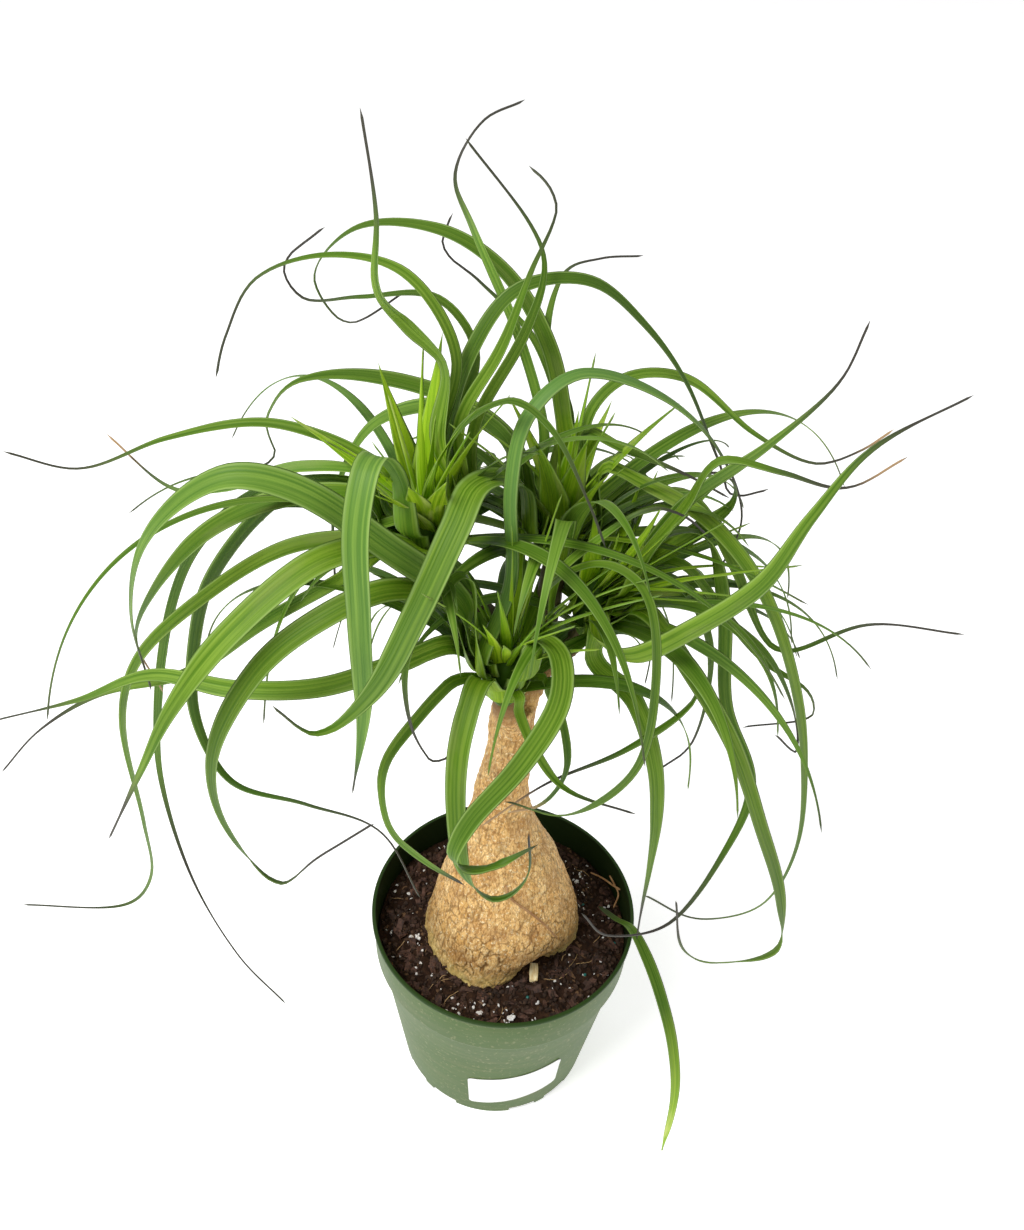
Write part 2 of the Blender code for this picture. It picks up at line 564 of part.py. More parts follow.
def make_loose_blade():
    """The fallen leaf, as a blade whose flat side lies on the rim."""
    length = np.linalg.norm(np.diff(np.array(LOOSE_LEAF), axis=0), axis=1).sum()
    count = int(length / RING_STEP)
    middles = smooth_route(LOOSE_LEAF, count)
    tangents = unit(np.gradient(middles, axis=0))
    across = np.cross(tangents, np.array([0.3, -0.3, 1.0]))
    shares, sizes = zip(*LOOSE_WIDTHS)
    widths = np.interp(np.linspace(0, 1, count), shares, sizes)
    return {"middles": middles, "across": across, "widths": widths}


def frames(blade):
    """Square up a blade's across directions to its route, and give its normals."""
    tangents = unit(np.gradient(blade["middles"], axis=0))
    across = blade["across"]
    across = unit(across - (across * tangents).sum(axis=1, keepdims=True) * tangents)
    for ring in range(1, len(across)):
        if (across[ring] * across[ring - 1]).sum() < 0:
            across[ring] *= -1
    return across, np.cross(tangents, across), tangents


def boxes(blades):
    """A thin box round each stretch between two rings: middle, axes, half sizes and owner."""
    parts = []
    for owner, blade in enumerate(blades):
        middles, widths = blade["middles"], blade["widths"]
        across, _, _ = frames(blade)
        step = np.diff(middles, axis=0)
        along = unit(step)
        side = across[:-1] + across[1:]
        side = unit(side - (side * along).sum(axis=1, keepdims=True) * along)
        axes = np.stack([side, np.cross(along, side), along], axis=1)
        half = np.stack([np.maximum(widths[:-1], widths[1:]) / 2 + 0.2,
                         np.full(len(step), BLADE_THICK / 2 + 0.2),
                         np.linalg.norm(step, axis=1) / 2 + 0.2], axis=1)
        parts.append(((middles[:-1] + middles[1:]) / 2, axes, half,
                      np.full(len(step), owner)))
    return [np.concatenate(group) for group in zip(*parts)]


def solid_boxes():
    """Fixed boxes for the branches and hearts, which leaves give way to."""
    parts = []
    for points in BRANCHES.values():
        route = smooth_route([p[:3] for p in points], 9)
        radius = max(p[3] for p in points)
        for start, end in zip(route, route[1:]):
            parts.append(((start + end) / 2, (radius, radius, (end[2] - start[2]) / 2 + 0.5)))
    for x, y, z in HEARTS.values():
        for height in (-11.0, -4.0, 3.0, 10.0, 17.0):
            size = heart_radius(height) * 0.72
            parts.append((np.array([x, y, z + height]), (size, size, 3.5)))
    middles = np.array([part[0] for part in parts])
    half = np.array([part[1] for part in parts])
    axes = np.repeat(np.eye(3)[None], len(parts), axis=0)
    return middles, axes, half, np.full(len(parts), -1)


def overlaps(first, second, middles, axes, half):
    """How deep each pair of boxes meets, and the direction that parts them soonest."""
    gap = middles[second] - middles[first]
    one, two = axes[first], axes[second]
    crossed = np.cross(one[:, :, None, :], two[:, None, :, :]).reshape(len(first), 9, 3)
    tests = np.concatenate([one, two, crossed], axis=1)
    size = np.linalg.norm(tests, axis=2)
    tests = tests / np.maximum(size, 1e-9)[:, :, None]
    reach = (np.abs(np.einsum("pkc,pac->pka", tests, one)) * half[first][:, None]).sum(axis=2)
    reach += (np.abs(np.einsum("pkc,pac->pka", tests, two)) * half[second][:, None]).sum(axis=2)
    apart = np.einsum("pkc,pc->pk", tests, gap)
    depth = np.where(size > 0.05, reach - np.abs(apart), 1e6)
    best = depth.argmin(axis=1)
    rows = np.arange(len(first))
    direction = tests[rows, best] * np.sign(apart[rows, best] + 1e-9)[:, None]
    return depth[rows, best], direction


def settle(blades, rounds=400):
    """Move blades gently until none runs through another, a branch or a heart."""
    fixed = solid_boxes()
    pairs = None
    for turn in range(rounds):
        free = boxes(blades)
        middles, axes, half, owner = [np.concatenate([a, b]) for a, b in zip(free, fixed)]
        if turn % 8 == 0:
            reach = np.linalg.norm(half, axis=1)
            far = np.linalg.norm(middles[:, None] - middles[None], axis=2)
            near = far < reach[:, None] + reach[None] + 2.0
            near &= (owner[:, None] != owner[None]) & (owner[:, None] >= 0)
            first, second = np.nonzero(near)
            keep = (first < second) | (owner[second] < 0)
            pairs = first[keep], second[keep]
        depth, direction = overlaps(pairs[0], pairs[1], middles, axes, half)
        hit = depth > 0
        if not hit.any():
            break
        move = np.zeros_like(middles)
        count = np.zeros(len(middles))
        first, second = pairs[0][hit], pairs[1][hit]
        both = (owner[second] >= 0)[:, None]
        push = direction[hit] * depth[hit][:, None] * np.where(both, 0.5, 1.0)
        np.add.at(move, first, -push)
        np.add.at(move, second, np.where(both, push, 0.0))
        np.add.at(count, first, 1)
        np.add.at(count, second, 1)
        move /= np.maximum(count, 1)[:, None] ** 0.7
        shift(blades, move[:len(free[0])])
    return int(hit.sum())


def shift(blades, move):
    """Spread the boxes' moves over the rings, smoothly, and hold each base where it is."""
    at = 0
    for blade in blades:
        count = len(blade["middles"])
        own = move[at:at + count - 1]
        at += count - 1
        ring = np.zeros((count, 3))
        ring[:-1] += own * 0.6
        ring[1:] += own * 0.6
        for _ in range(3):
            padded = np.vstack([ring[:1], ring, ring[-1:]])
            ring = (padded[:-2] + 2 * padded[1:-1] + padded[2:]) / 4
        hold = np.clip(np.arange(count) / 3.0, 0, 1)[:, None]
        moved = blade["middles"] + ring * 1.3 * hold - blade["rest"]
        even = moved.copy()
        even[1:-1] = (moved[:-2] + moved[2:]) / 2
        even[-1] = moved[-2]
        blade["middles"] = blade["rest"] + moved + STIFFNESS * (even - moved)


def narrowed(blade, across, tangents):
    """Widths that keep a blade's inner edge from doubling back where it turns edgeways."""
    middles, widths = blade["middles"], blade["widths"].copy()
    turn = np.abs(((tangents[2:] - tangents[:-2]) * across[1:-1]).sum(axis=1))
    run = np.linalg.norm(middles[2:] - middles[:-2], axis=1)
    widths[1:-1] = np.minimum(widths[1:-1], 1.3 * run / np.maximum(turn, 1e-6))
    for ring in range(1, len(widths)):
        widths[ring] = min(widths[ring], widths[ring - 1] + 3.0)
    for ring in range(len(widths) - 2, -1, -1):
        widths[ring] = min(widths[ring], widths[ring + 1] + 3.0)
    return widths


def join_strap(bm, low, high):
    """Triangles between two blade rings, creased alike above and below however it twists."""
    for edge, face in ((0, 1), (2, 1), (2, 3), (0, 3)):
        ahead = (low[edge], low[face], high[face])
        beside = (low[edge], high[face], high[edge])
        for corners in (ahead, beside):
            bm.faces.new(corners if (edge, face) in ((0, 1), (2, 3)) else reversed(corners))


def make_leaf(name, blade, parent):
    """A closed strap: four-cornered rings, thickest along the middle, drawn to a point."""
    across, normals, tangents = frames(blade)
    bm = bmesh.new()
    rings = []
    middles, widths = blade["middles"], narrowed(blade, across, tangents)
    for middle, side, normal, width in zip(middles[:-1], across, normals, widths):
        thick = min(BLADE_THICK, 0.3 + 0.1 * width) / 2
        corners = (middle - side * width / 2, middle + normal * thick,
                   middle + side * width / 2, middle - normal * thick)
        rings.append([bm.verts.new(tuple(corner)) for corner in corners])
    for low, high in zip(rings, rings[1:]):
        join_strap(bm, low, high)
    bm.faces.new(reversed(rings[0]))
    join_rings(bm, rings[-1], [bm.verts.new(tuple(middles[-1]))])
    return add_object(name, bm, "leaf_green", parent)


def make_leaves(parent):
    names, blades = [], []
    for side, leaves in LEAVES.items():
        for index, ((width, places), (turn, height)) in enumerate(zip(leaves, base_places(side))):
            names.append(f"leaf_{side}_{index + 1:02d}")
            full_to = WIDE_TO.get(names[-1], FULL_TO)
            blades.append(make_blade(side, width, places, turn, height, full_to))
    left = settle(blades)
    print("blades", len(blades), "boxes still meeting", left)
    for name, blade in zip(names, blades):
        make_leaf(name, blade, parent)
    make_leaf("leaf_fallen", make_loose_blade(), parent)


def main():
    for obj in list(bpy.data.objects):
        bpy.data.objects.remove(obj, do_unlink=True)
    plant = bpy.data.objects.new("potted_palm", None)
    bpy.context.collection.objects.link(plant)
    make_pot(plant)
    make_label(plant)
    make_soil(plant)
    for name in CHIPS:
        make_chip(name, plant)
    make_trunk(plant)
    for side in HEARTS:
        make_heart(side, plant)
    make_leaves(plant)


main()
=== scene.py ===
# A ponytail palm in a nursery pot: four heads of long strap leaves on a swollen corky base.
# Lengths are in millimetres, and the studio's in metres.
import math
import random

import bmesh
import bpy
import numpy as np
from mathutils import Euler, Matrix, Vector, noise


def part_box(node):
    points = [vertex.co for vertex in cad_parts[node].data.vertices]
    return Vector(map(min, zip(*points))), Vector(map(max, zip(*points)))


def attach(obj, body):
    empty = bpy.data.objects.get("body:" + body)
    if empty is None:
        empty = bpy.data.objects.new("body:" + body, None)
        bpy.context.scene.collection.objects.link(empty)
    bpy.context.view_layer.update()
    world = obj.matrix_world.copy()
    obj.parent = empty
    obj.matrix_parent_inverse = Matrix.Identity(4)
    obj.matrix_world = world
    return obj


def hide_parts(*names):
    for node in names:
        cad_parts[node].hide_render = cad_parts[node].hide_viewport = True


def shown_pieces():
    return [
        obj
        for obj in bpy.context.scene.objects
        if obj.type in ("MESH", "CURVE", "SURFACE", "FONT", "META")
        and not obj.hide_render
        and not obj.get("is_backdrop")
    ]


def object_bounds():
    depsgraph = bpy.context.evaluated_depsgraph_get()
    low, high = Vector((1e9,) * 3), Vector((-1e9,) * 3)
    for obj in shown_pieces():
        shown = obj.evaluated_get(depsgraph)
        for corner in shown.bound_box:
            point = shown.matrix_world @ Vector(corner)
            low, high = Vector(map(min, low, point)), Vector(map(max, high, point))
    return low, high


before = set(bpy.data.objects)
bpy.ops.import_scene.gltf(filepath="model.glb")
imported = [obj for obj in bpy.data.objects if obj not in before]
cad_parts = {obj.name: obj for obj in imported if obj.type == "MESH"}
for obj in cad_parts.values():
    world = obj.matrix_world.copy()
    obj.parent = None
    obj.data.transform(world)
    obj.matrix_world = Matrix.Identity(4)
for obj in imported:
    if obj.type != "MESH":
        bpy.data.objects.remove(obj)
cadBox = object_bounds()
millimetre = 0.001                  # in metres
heads = ["front", "left", "top", "right"]
goldenTurn = 2.39996                # radians from one young leaf to the next round a stem


# Small tools that every piece uses

def toLinear(hexColour):            # sRGB hex to the linear colour that a socket holds
    parts = [int(hexColour[i:i + 2], 16) / 255 for i in (1, 3, 5)]
    return [p / 12.92 if p <= 0.04045 else ((p + 0.055) / 1.055) ** 2.4 for p in parts] + [1.0]


def perMetre(*sizes):               # a pattern's scale, from the real width of its grains
    scales = tuple(1000 / size for size in sizes)
    return scales if len(scales) > 1 else scales[0]


def addNode(tree, kind, inputs=None, **settings):    # a node with its settings and links
    node = tree.nodes.new("ShaderNode" + kind)
    for name, value in settings.items():
        setattr(node, name, value)
    for socket, value in (inputs or {}).items():
        if isinstance(value, bpy.types.NodeSocket):
            tree.links.new(value, node.inputs[socket])
        else:
            node.inputs[socket].default_value = toLinear(value) if isinstance(value, str) else value
    return node


def newMaterial(name, roughness, ior=1.45, **sockets):
    material = bpy.data.materials.new(name)
    material.use_nodes = True
    tree = material.node_tree
    shader = tree.nodes["Principled BSDF"]
    shader.inputs["Roughness"].default_value = roughness
    shader.inputs["IOR"].default_value = ior
    for socket, value in sockets.items():
        shader.inputs[socket.replace("_", " ")].default_value = value
    return material, tree, shader


# Lays tints over a colour. A tint is a mask, the two values of it between which the tint comes
# in, how strong it is at the first and at the second, and its own colour
def layTints(tree, colour, tints):
    for mask, low, high, least, most, tint in tints:
        share = addNode(tree, "MapRange", {0: mask, 1: low, 2: high, 3: least, 4: most})
        layer = addNode(tree, "Mix", {0: share.outputs[0], 6: colour, 7: tint}, data_type="RGBA")
        colour = layer.outputs[2]
    return colour


def dress(material, colour, relief, deep, strength):     # puts colour and relief on a material
    tree = material.node_tree
    shader = tree.nodes["Principled BSDF"]
    bump = addNode(tree, "Bump", {"Height": relief, "Distance": deep * millimetre,
                                  "Strength": strength})
    tree.links.new(colour, shader.inputs["Base Color"])
    tree.links.new(bump.outputs[0], shader.inputs["Normal"])
    return material


def clearSelection():
    if bpy.context.object and bpy.context.object.mode != "OBJECT":
        bpy.ops.object.mode_set(mode="OBJECT")
    bpy.ops.object.select_all(action="DESELECT")


def onlyThis(piece):
    clearSelection()
    piece.select_set(True)
    bpy.context.view_layer.objects.active = piece


def applyModifier(piece, kind, **settings):
    modifier = piece.modifiers.new(kind.title(), kind)
    for name, value in settings.items():
        setattr(modifier, name, value)
    onlyThis(piece)
    bpy.ops.object.modifier_apply(modifier=modifier.name)


def editAll():                      # edit mode, with everything selected
    bpy.ops.object.mode_set(mode="EDIT")
    bpy.ops.mesh.select_all(action="SELECT")


def welded(mesh):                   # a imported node's loose triangles, joined at their corners
    bm = bmesh.new()
    bm.from_mesh(mesh)
    bmesh.ops.remove_doubles(bm, verts=bm.verts, dist=0.01 * millimetre)
    return bm


def meshPiece(name, points, faces, smooth=True):
    mesh = bpy.data.meshes.new(name)
    mesh.from_pydata([tuple(p) for p in points], [], faces)
    mesh.update()
    mesh.polygons.foreach_set("use_smooth", [smooth] * len(mesh.polygons))
    piece = bpy.data.objects.new(name, mesh)
    bpy.context.collection.objects.link(piece)
    return piece


def finishPiece(piece, material, slot, *nodes):
    piece.data.materials.clear()
    piece.data.materials.append(material)
    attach(piece, "root")
    if nodes:
        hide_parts(*nodes)
    return piece


def easeBetween(low, high, value):  # 0 below low, 1 above high, smooth between
    share = min(max((value - low) / (high - low), 0.0), 1.0)
    return share * share * (3 - 2 * share)


# Camera, floor and lights: places and sizes in metres, turns in degrees about X, Y and Z

view = {"place": (-0.00669, -0.37817, 0.66899), "turn": (51.1186, -2.9839, 2.4036),
        "lens": 30.0, "sensor": 36.0, "near": 0.01, "far": 100.0}

studio = {"worldGlow": 0.5, "worldColour": "#ffffff", "aim": (0, 0, 0.25),
          "floorSize": 40.0, "floorGlow": 0.5, "floorColour": "#fbfbf9",
          "floorPatches": 900.0,        # faint patches of 44 mm from one side to the other
          "keyPlace": (-0.95, -0.75, 1.9), "keySize": 0.9, "keyPower": 34.0,
          "fillPlace": (1.4, -1.2, 1.2), "fillSize": 1.6, "fillPower": 4.0}


def makeCamera():
    data = bpy.data.cameras.new("camera")
    data.lens, data.sensor_width = view["lens"], view["sensor"]
    data.clip_start, data.clip_end = view["near"], view["far"]
    camera = bpy.data.objects.new("camera", data)
    turn = Euler([math.radians(angle) for angle in view["turn"]])
    camera.matrix_world = Matrix.LocRotScale(Vector(view["place"]), turn, None)
    bpy.context.collection.objects.link(camera)
    bpy.context.scene.camera = camera


def makeStudio():
    clearSelection()
    bpy.ops.mesh.primitive_plane_add(size=studio["floorSize"], location=(0, 0, 0))
    floor = bpy.context.object
    floor.name = "paperSweep"
    # Matte paper: no gloss, faintly cloudy, with a glow of its own that keeps it white
    material, tree, shader = newMaterial("seamless studio paper, matte", 0.9,
                                         Emission_Color=toLinear("#ffffff"),
                                         Emission_Strength=studio["floorGlow"])
    patches = addNode(tree, "TexNoise", {"Scale": studio["floorPatches"], "Detail": 2.0})
    colour = layTints(tree, studio["floorColour"],
                      [(patches.outputs[0], 0.3, 0.7, 0, 1, "#ffffff")])
    tree.links.new(colour, shader.inputs["Base Color"])
    floor.data.materials.append(material)
    floor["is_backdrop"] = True
    world = bpy.data.worlds.new("studioWorld")
    world.use_nodes = True
    backdrop = world.node_tree.nodes["Background"]
    backdrop.inputs[0].default_value = toLinear(studio["worldColour"])
    backdrop.inputs[1].default_value = studio["worldGlow"]
    bpy.context.scene.world = world
    for lamp in ("key", "fill"):
        data = bpy.data.lights.new(lamp, "AREA")
        data.energy, data.size = studio[lamp + "Power"], studio[lamp + "Size"]
        light = bpy.data.objects.new(lamp, data)
        light.location = studio[lamp + "Place"]
        aim = Vector(studio["aim"]) - light.location
        light.rotation_euler = aim.to_track_quat("-Z", "Y").to_euler()
        bpy.context.collection.objects.link(light)
    bpy.context.scene.view_settings.view_transform = "Standard"


makeCamera()
makeStudio()
print("camera and studio ready")


# Pot: injection moulded polypropylene, a soft satin green

pot = {"sides": 160, "height": 138.0, "rim": 80.0, "bandFoot": 108.0, "wall": 1.6,
       "base": 61.5, "wallTop": 75.5, "bandRadius": 78.5, "floor": 2.2,
       "notchSectors": 5, "notchTall": 4.6, "notchDeep": 11.0,
       "notchWide": 16.5, "notchFirst": 20.0, "notchPair": 23.0,        # in degrees round the pot
       "insideRadius": 77.9, "insideFrom": 111.5,   # within and above these it is soil stained and darkened by painted shade
       "lipFrom": 135.2, "lipTo": 137.2}            # where painted shade darkens it towards the lip


def wallRadius(height):             # outside of the tapered wall
    return pot["base"] + (pot["wallTop"] - pot["base"]) * height / pot["bandFoot"]


def pottedPlastic():
    # Polypropylene from a textured mould: even colour, soft wide highlights, scuffs and dust
    material, tree, shader = newMaterial("polypropylene, moulded satin", 0.5, 1.49,
                                         Specular_IOR_Level=0.14)
    mm = millimetre
    place = addNode(tree, "TexCoord").outputs["Object"]
    cloud = addNode(tree, "TexNoise", {"Vector": place, "Scale": perMetre(35.714),
                                       "Detail": 3.0})
    dust = addNode(tree, "TexNoise", {"Vector": place, "Scale": perMetre(2.381), "Detail": 4.0})
    flow = addNode(tree, "Mapping", {"Vector": place, "Scale": perMetre(38.46, 38.46, 3.846)})
    lines = addNode(tree, "TexNoise", {"Vector": flow.outputs[0], "Scale": 1.0, "Detail": 2.0})
    height = addNode(tree, "SeparateXYZ", {"Vector": place}).outputs["Z"]
    flat = addNode(tree, "VectorMath", {0: place, 1: (1, 1, 0)}, operation="MULTIPLY")
    reach = addNode(tree, "VectorMath", {0: flat.outputs[0]}, operation="LENGTH")
    within = addNode(tree, "Math", {0: reach.outputs["Value"], 1: pot["insideRadius"] * mm},
                     operation="LESS_THAN")
    raised = addNode(tree, "Math", {0: height, 1: pot["insideFrom"] * mm},
                     operation="GREATER_THAN")
    inner = addNode(tree, "Math", {0: within.outputs[0], 1: raised.outputs[0]},
                    operation="MULTIPLY")
    colour = layTints(tree, "#475f29", [
        (cloud.outputs[0], 0.3, 0.7, 0, 1, "#52693a"),
        (lines.outputs[0], 0.45, 0.75, 0, 0.22, "#7c7a55"),         # flow lines of the moulding
        (dust.outputs[0], 0.58, 0.74, 0, 0.4, "#a29c76"),
        # painted shade darkening the lip
        (height, pot["lipFrom"] * mm, pot["lipTo"] * mm, 0, 1, "#2a4019"),
        (inner.outputs[0], 0, 1, 0, 1, "#1c2a12")])                 # soil stain and painted shade inside
    scuff = addNode(tree, "MapRange", {"Value": cloud.outputs[0], 3: 0.36, 4: 0.55})
    tree.links.new(scuff.outputs[0], shader.inputs["Roughness"])
    return dress(material, colour, dust.outputs[0], 0.06, 0.5)


def makePot():
    mm = millimetre
    clearSelection()
    bpy.ops.mesh.primitive_circle_add(vertices=pot["sides"], fill_type="NGON",
                                      radius=(pot["base"] - 0.8) * mm, location=(0, 0, 0))
    body = bpy.context.object
    body.name = "nurseryPot"
    editAll()
    rim, top, band, wall = pot["rim"], pot["height"], pot["bandFoot"], pot["wall"]
    bandRadius, wallTop, floor = pot["bandRadius"], pot["wallTop"], pot["floor"]
    steps = [(wallRadius(0.8), 0.8), (wallRadius(3.3), 3.3), (wallRadius(30), 30),
             (wallRadius(70), 70), (wallTop - 0.2, band - 3.4), (wallTop + 0.4, band - 1.8),
             (bandRadius - 0.8, band + 0.6), (bandRadius - 0.1, band + 2.4),
             (rim - 1.1, top - 3.8), (rim - 0.4, top - 3.0), (rim, top - 2.2),
             (rim, top - 0.8), (rim - 0.3, top - 0.2), (rim - 0.9, top),
             (rim - 1.8, top), (rim - 2.3, top - 0.3), (rim - 2.5, top - 1.0),
             (bandRadius - wall, band + 2.4), (wallTop - wall, band - 1.4),
             (wallRadius(60) - wall, 60), (wallRadius(floor + 2) - wall, floor + 2),
             (wallRadius(floor) - 2 * wall, floor)]
    lastRadius, lastHeight = pot["base"] - 0.8, 0.0
    for radius, height in steps:
        bpy.ops.mesh.extrude_region_move(
            TRANSFORM_OT_translate={"value": (0, 0, (height - lastHeight) * mm)})
        bpy.ops.transform.resize(value=(radius / lastRadius, radius / lastRadius, 1))
        lastRadius, lastHeight = radius, height
    for radius in (30, 8):          # the floor, in two steps down to its middle
        bpy.ops.mesh.inset(thickness=(lastRadius - radius) * mm)
        lastRadius = radius
    bpy.ops.mesh.poke()
    bpy.ops.mesh.select_all(action="SELECT")
    bpy.ops.mesh.normals_make_consistent(inside=False)
    bpy.ops.object.mode_set(mode="OBJECT")
    cutters = []
    for sector in range(pot["notchSectors"]):
        for pair in (0, 1):
            turn = math.radians(pot["notchFirst"] + pair * pot["notchPair"]
                                + sector * 360 / pot["notchSectors"])
            reach = (pot["base"] - 1.5) * mm
            clearSelection()
            bpy.ops.mesh.primitive_cube_add(
                size=1.0, location=(math.sin(turn) * reach, -math.cos(turn) * reach, 0),
                rotation=(0, 0, turn),
                scale=(2 * pot["base"] * mm * math.sin(math.radians(pot["notchWide"] / 2)),
                       pot["notchDeep"] * mm, 2 * pot["notchTall"] * mm))
            cutter = bpy.context.object
            bpy.ops.object.transform_apply(location=True, rotation=True, scale=True)
            editAll()
            bpy.ops.mesh.bevel(offset=0.8 * mm, segments=2)
            bpy.ops.object.mode_set(mode="OBJECT")
            cutters.append(cutter)
    clearSelection()
    for cutter in cutters:
        cutter.select_set(True)
    bpy.context.view_layer.objects.active = cutters[0]
    bpy.ops.object.join()
    tool = bpy.context.object
    applyModifier(body, "BOOLEAN", object=tool, operation="DIFFERENCE", solver="EXACT")
    bpy.data.objects.remove(tool, do_unlink=True)
    onlyThis(body)
    bpy.ops.object.shade_smooth_by_angle(angle=math.radians(32))
    return finishPiece(body, pottedPlastic(), "pot_plastic", "pot")


makePot()
print("pot ready")


# Label: uncoated paper, left bare. Its ends and skew are in degrees round the pot

label = {"from": -12.5, "to": 36.0, "low": 15.0, "high": 53.0, "rise": 12.5, "thick": 0.28,
         "corner": 3.0, "skew": (0.5, 2.0), "gap": 0.28, "ripple": 0.1, "peel": 0.5}


def labelPaper():
    # Uncoated adhesive paper: bright, matte, with a faint fibre grain
    material, tree, _ = newMaterial("label paper, uncoated", 0.85, 1.5)
    place = addNode(tree, "TexCoord").outputs["Object"]
    fibre = addNode(tree, "TexNoise", {"Vector": place, "Scale": perMetre(0.66667),
                                       "Detail": 3.0})
    cloud = addNode(tree, "TexNoise", {"Vector": place, "Scale": perMetre(16.667),
                                       "Detail": 2.0})
    colour = layTints(tree, "#f1f1ee", [(fibre.outputs[0], 0.35, 0.7, 0, 1, "#fcfcfb"),
                                        (cloud.outputs[0], 0.5, 0.8, 0, 0.2, "#e6e5df")])
    return dress(material, colour, fibre.outputs[0], 0.03, 0.4)


def makeLabel():
    mm = millimetre
    spread = math.radians(label["to"] - label["from"])
    wide = spread * wallRadius((label["low"] + label["high"]) / 2)
    tall = label["high"] - label["low"]
    near, far = label["skew"]
    clearSelection()
    bpy.ops.mesh.primitive_grid_add(x_subdivisions=44, y_subdivisions=34, size=1.0,
                                    location=(0, 0, 0))
    sheet = bpy.context.object
    sheet.name = "paperLabel"
    corner = label["corner"]
    for vert in sheet.data.vertices:
        x, y = vert.co.x * wide, vert.co.y * tall
        overX = max(abs(x) - (wide / 2 - corner), 0.0)
        overY = max(abs(y) - (tall / 2 - corner), 0.0)
        if overX > 0 and overY > 0:             # draw the corner points back to a round
            reach = math.hypot(overX, overY)
            pull = min(max(overX, overY) / reach, 1.0)
            x = math.copysign(wide / 2 - corner + overX * pull, x)
            y = math.copysign(tall / 2 - corner + overY * pull, y)
        share = x / wide + 0.5
        turn = math.radians(label["from"]) + spread * share
        turn += math.radians(near + (far - near) * share) * (0.5 - y / tall)
        height = label["low"] + tall * (y / tall + 0.5) + label["rise"] * share
        lift = label["gap"] + label["ripple"] * noise.noise(Vector((x * 0.12, y * 0.12, 3.0)))
        peeled = easeBetween(0.93, 1.03, share) * easeBetween(0.2, 0.55, y / tall)
        lift += label["peel"] * peeled          # the upper right corner has come away a little
        radius = wallRadius(height) + lift
        vert.co = (radius * math.sin(turn) * mm, -radius * math.cos(turn) * mm, height * mm)
    applyModifier(sheet, "SOLIDIFY", thickness=label["thick"] * mm, offset=1.0)
    onlyThis(sheet)
    editAll()
    bpy.ops.mesh.normals_make_consistent(inside=False)
    bpy.ops.object.mode_set(mode="OBJECT")
    bpy.ops.object.shade_smooth_by_angle(angle=math.radians(40))
    return finishPiece(sheet, labelPaper(), "label_paper", "label")


makeLabel()
print("label ready")


# Potting mix: peat and composted bark with perlite

mix = {"top": 118.0, "edgeDrop": 2.0, "edgeFrom": 62.0, "radius": 76.4, "innerRadius": 20.0,
       "middle": 112.0, "under": 3.4, "rings": 58, "sectors": 220, "rough": 2.4, "seed": 11,
       "crumbs": 1300, "flakes": 190, "perlite": 150, "fibres": 30, "granules": 6,
       "pockets": [(-52, -14), (-8, -60), (6, -66), (50, 34)],          # where perlite gathers
       "pocketGrains": 12, "pocketLumps": 2}


def mixHeight(x, y):                # the surface: settled at the edge, and rough at three sizes
    reach = math.hypot(x, y)
    height = mix["top"] - 0.4 - mix["edgeDrop"] * easeBetween(mix["edgeFrom"], 76, reach)
    height += mix["rough"] * noise.fractal(Vector((x, y, 5.0)) / 16.0, 0.9, 2.1, 4)
    height += 0.9 * noise.noise(Vector((x, y, 0.0)) / 3.1)
    height += 0.5 * noise.noise(Vector((x, y, 9.0)) / 1.3)
    return height


def peatMix():
    # Damp peat and bark fines: nearly black brown, no gloss, broken into crumbs
    material, tree, _ = newMaterial("potting mix, damp peat and bark", 0.92, 1.4,
                                    Specular_IOR_Level=0.25)
    place = addNode(tree, "TexCoord").outputs["Object"]
    crumb = addNode(tree, "TexVoronoi", {"Vector": place, "Scale": perMetre(1.6129)})
    share = addNode(tree, "SeparateColor", {"Color": crumb.outputs["Color"]})
    grain = addNode(tree, "TexNoise", {"Vector": place, "Scale": perMetre(3.0303), "Detail": 6.0,
                                       "Roughness": 0.7})
    patch = addNode(tree, "TexNoise", {"Vector": place, "Scale": perMetre(16.667),
                                       "Detail": 3.0})
    colour = layTints(tree, "#120a07", [(grain.outputs[0], 0.35, 0.68, 0, 1, "#47301f"),
                                        (patch.outputs[0], 0.42, 0.7, 0, 0.6, "#2c1b13"),
                                        (share.outputs[0], 0.93, 0.97, 0, 0.55, "#8a6a4c")])
    return dress(material, colour, grain.outputs[0], 1.2, 1.0)


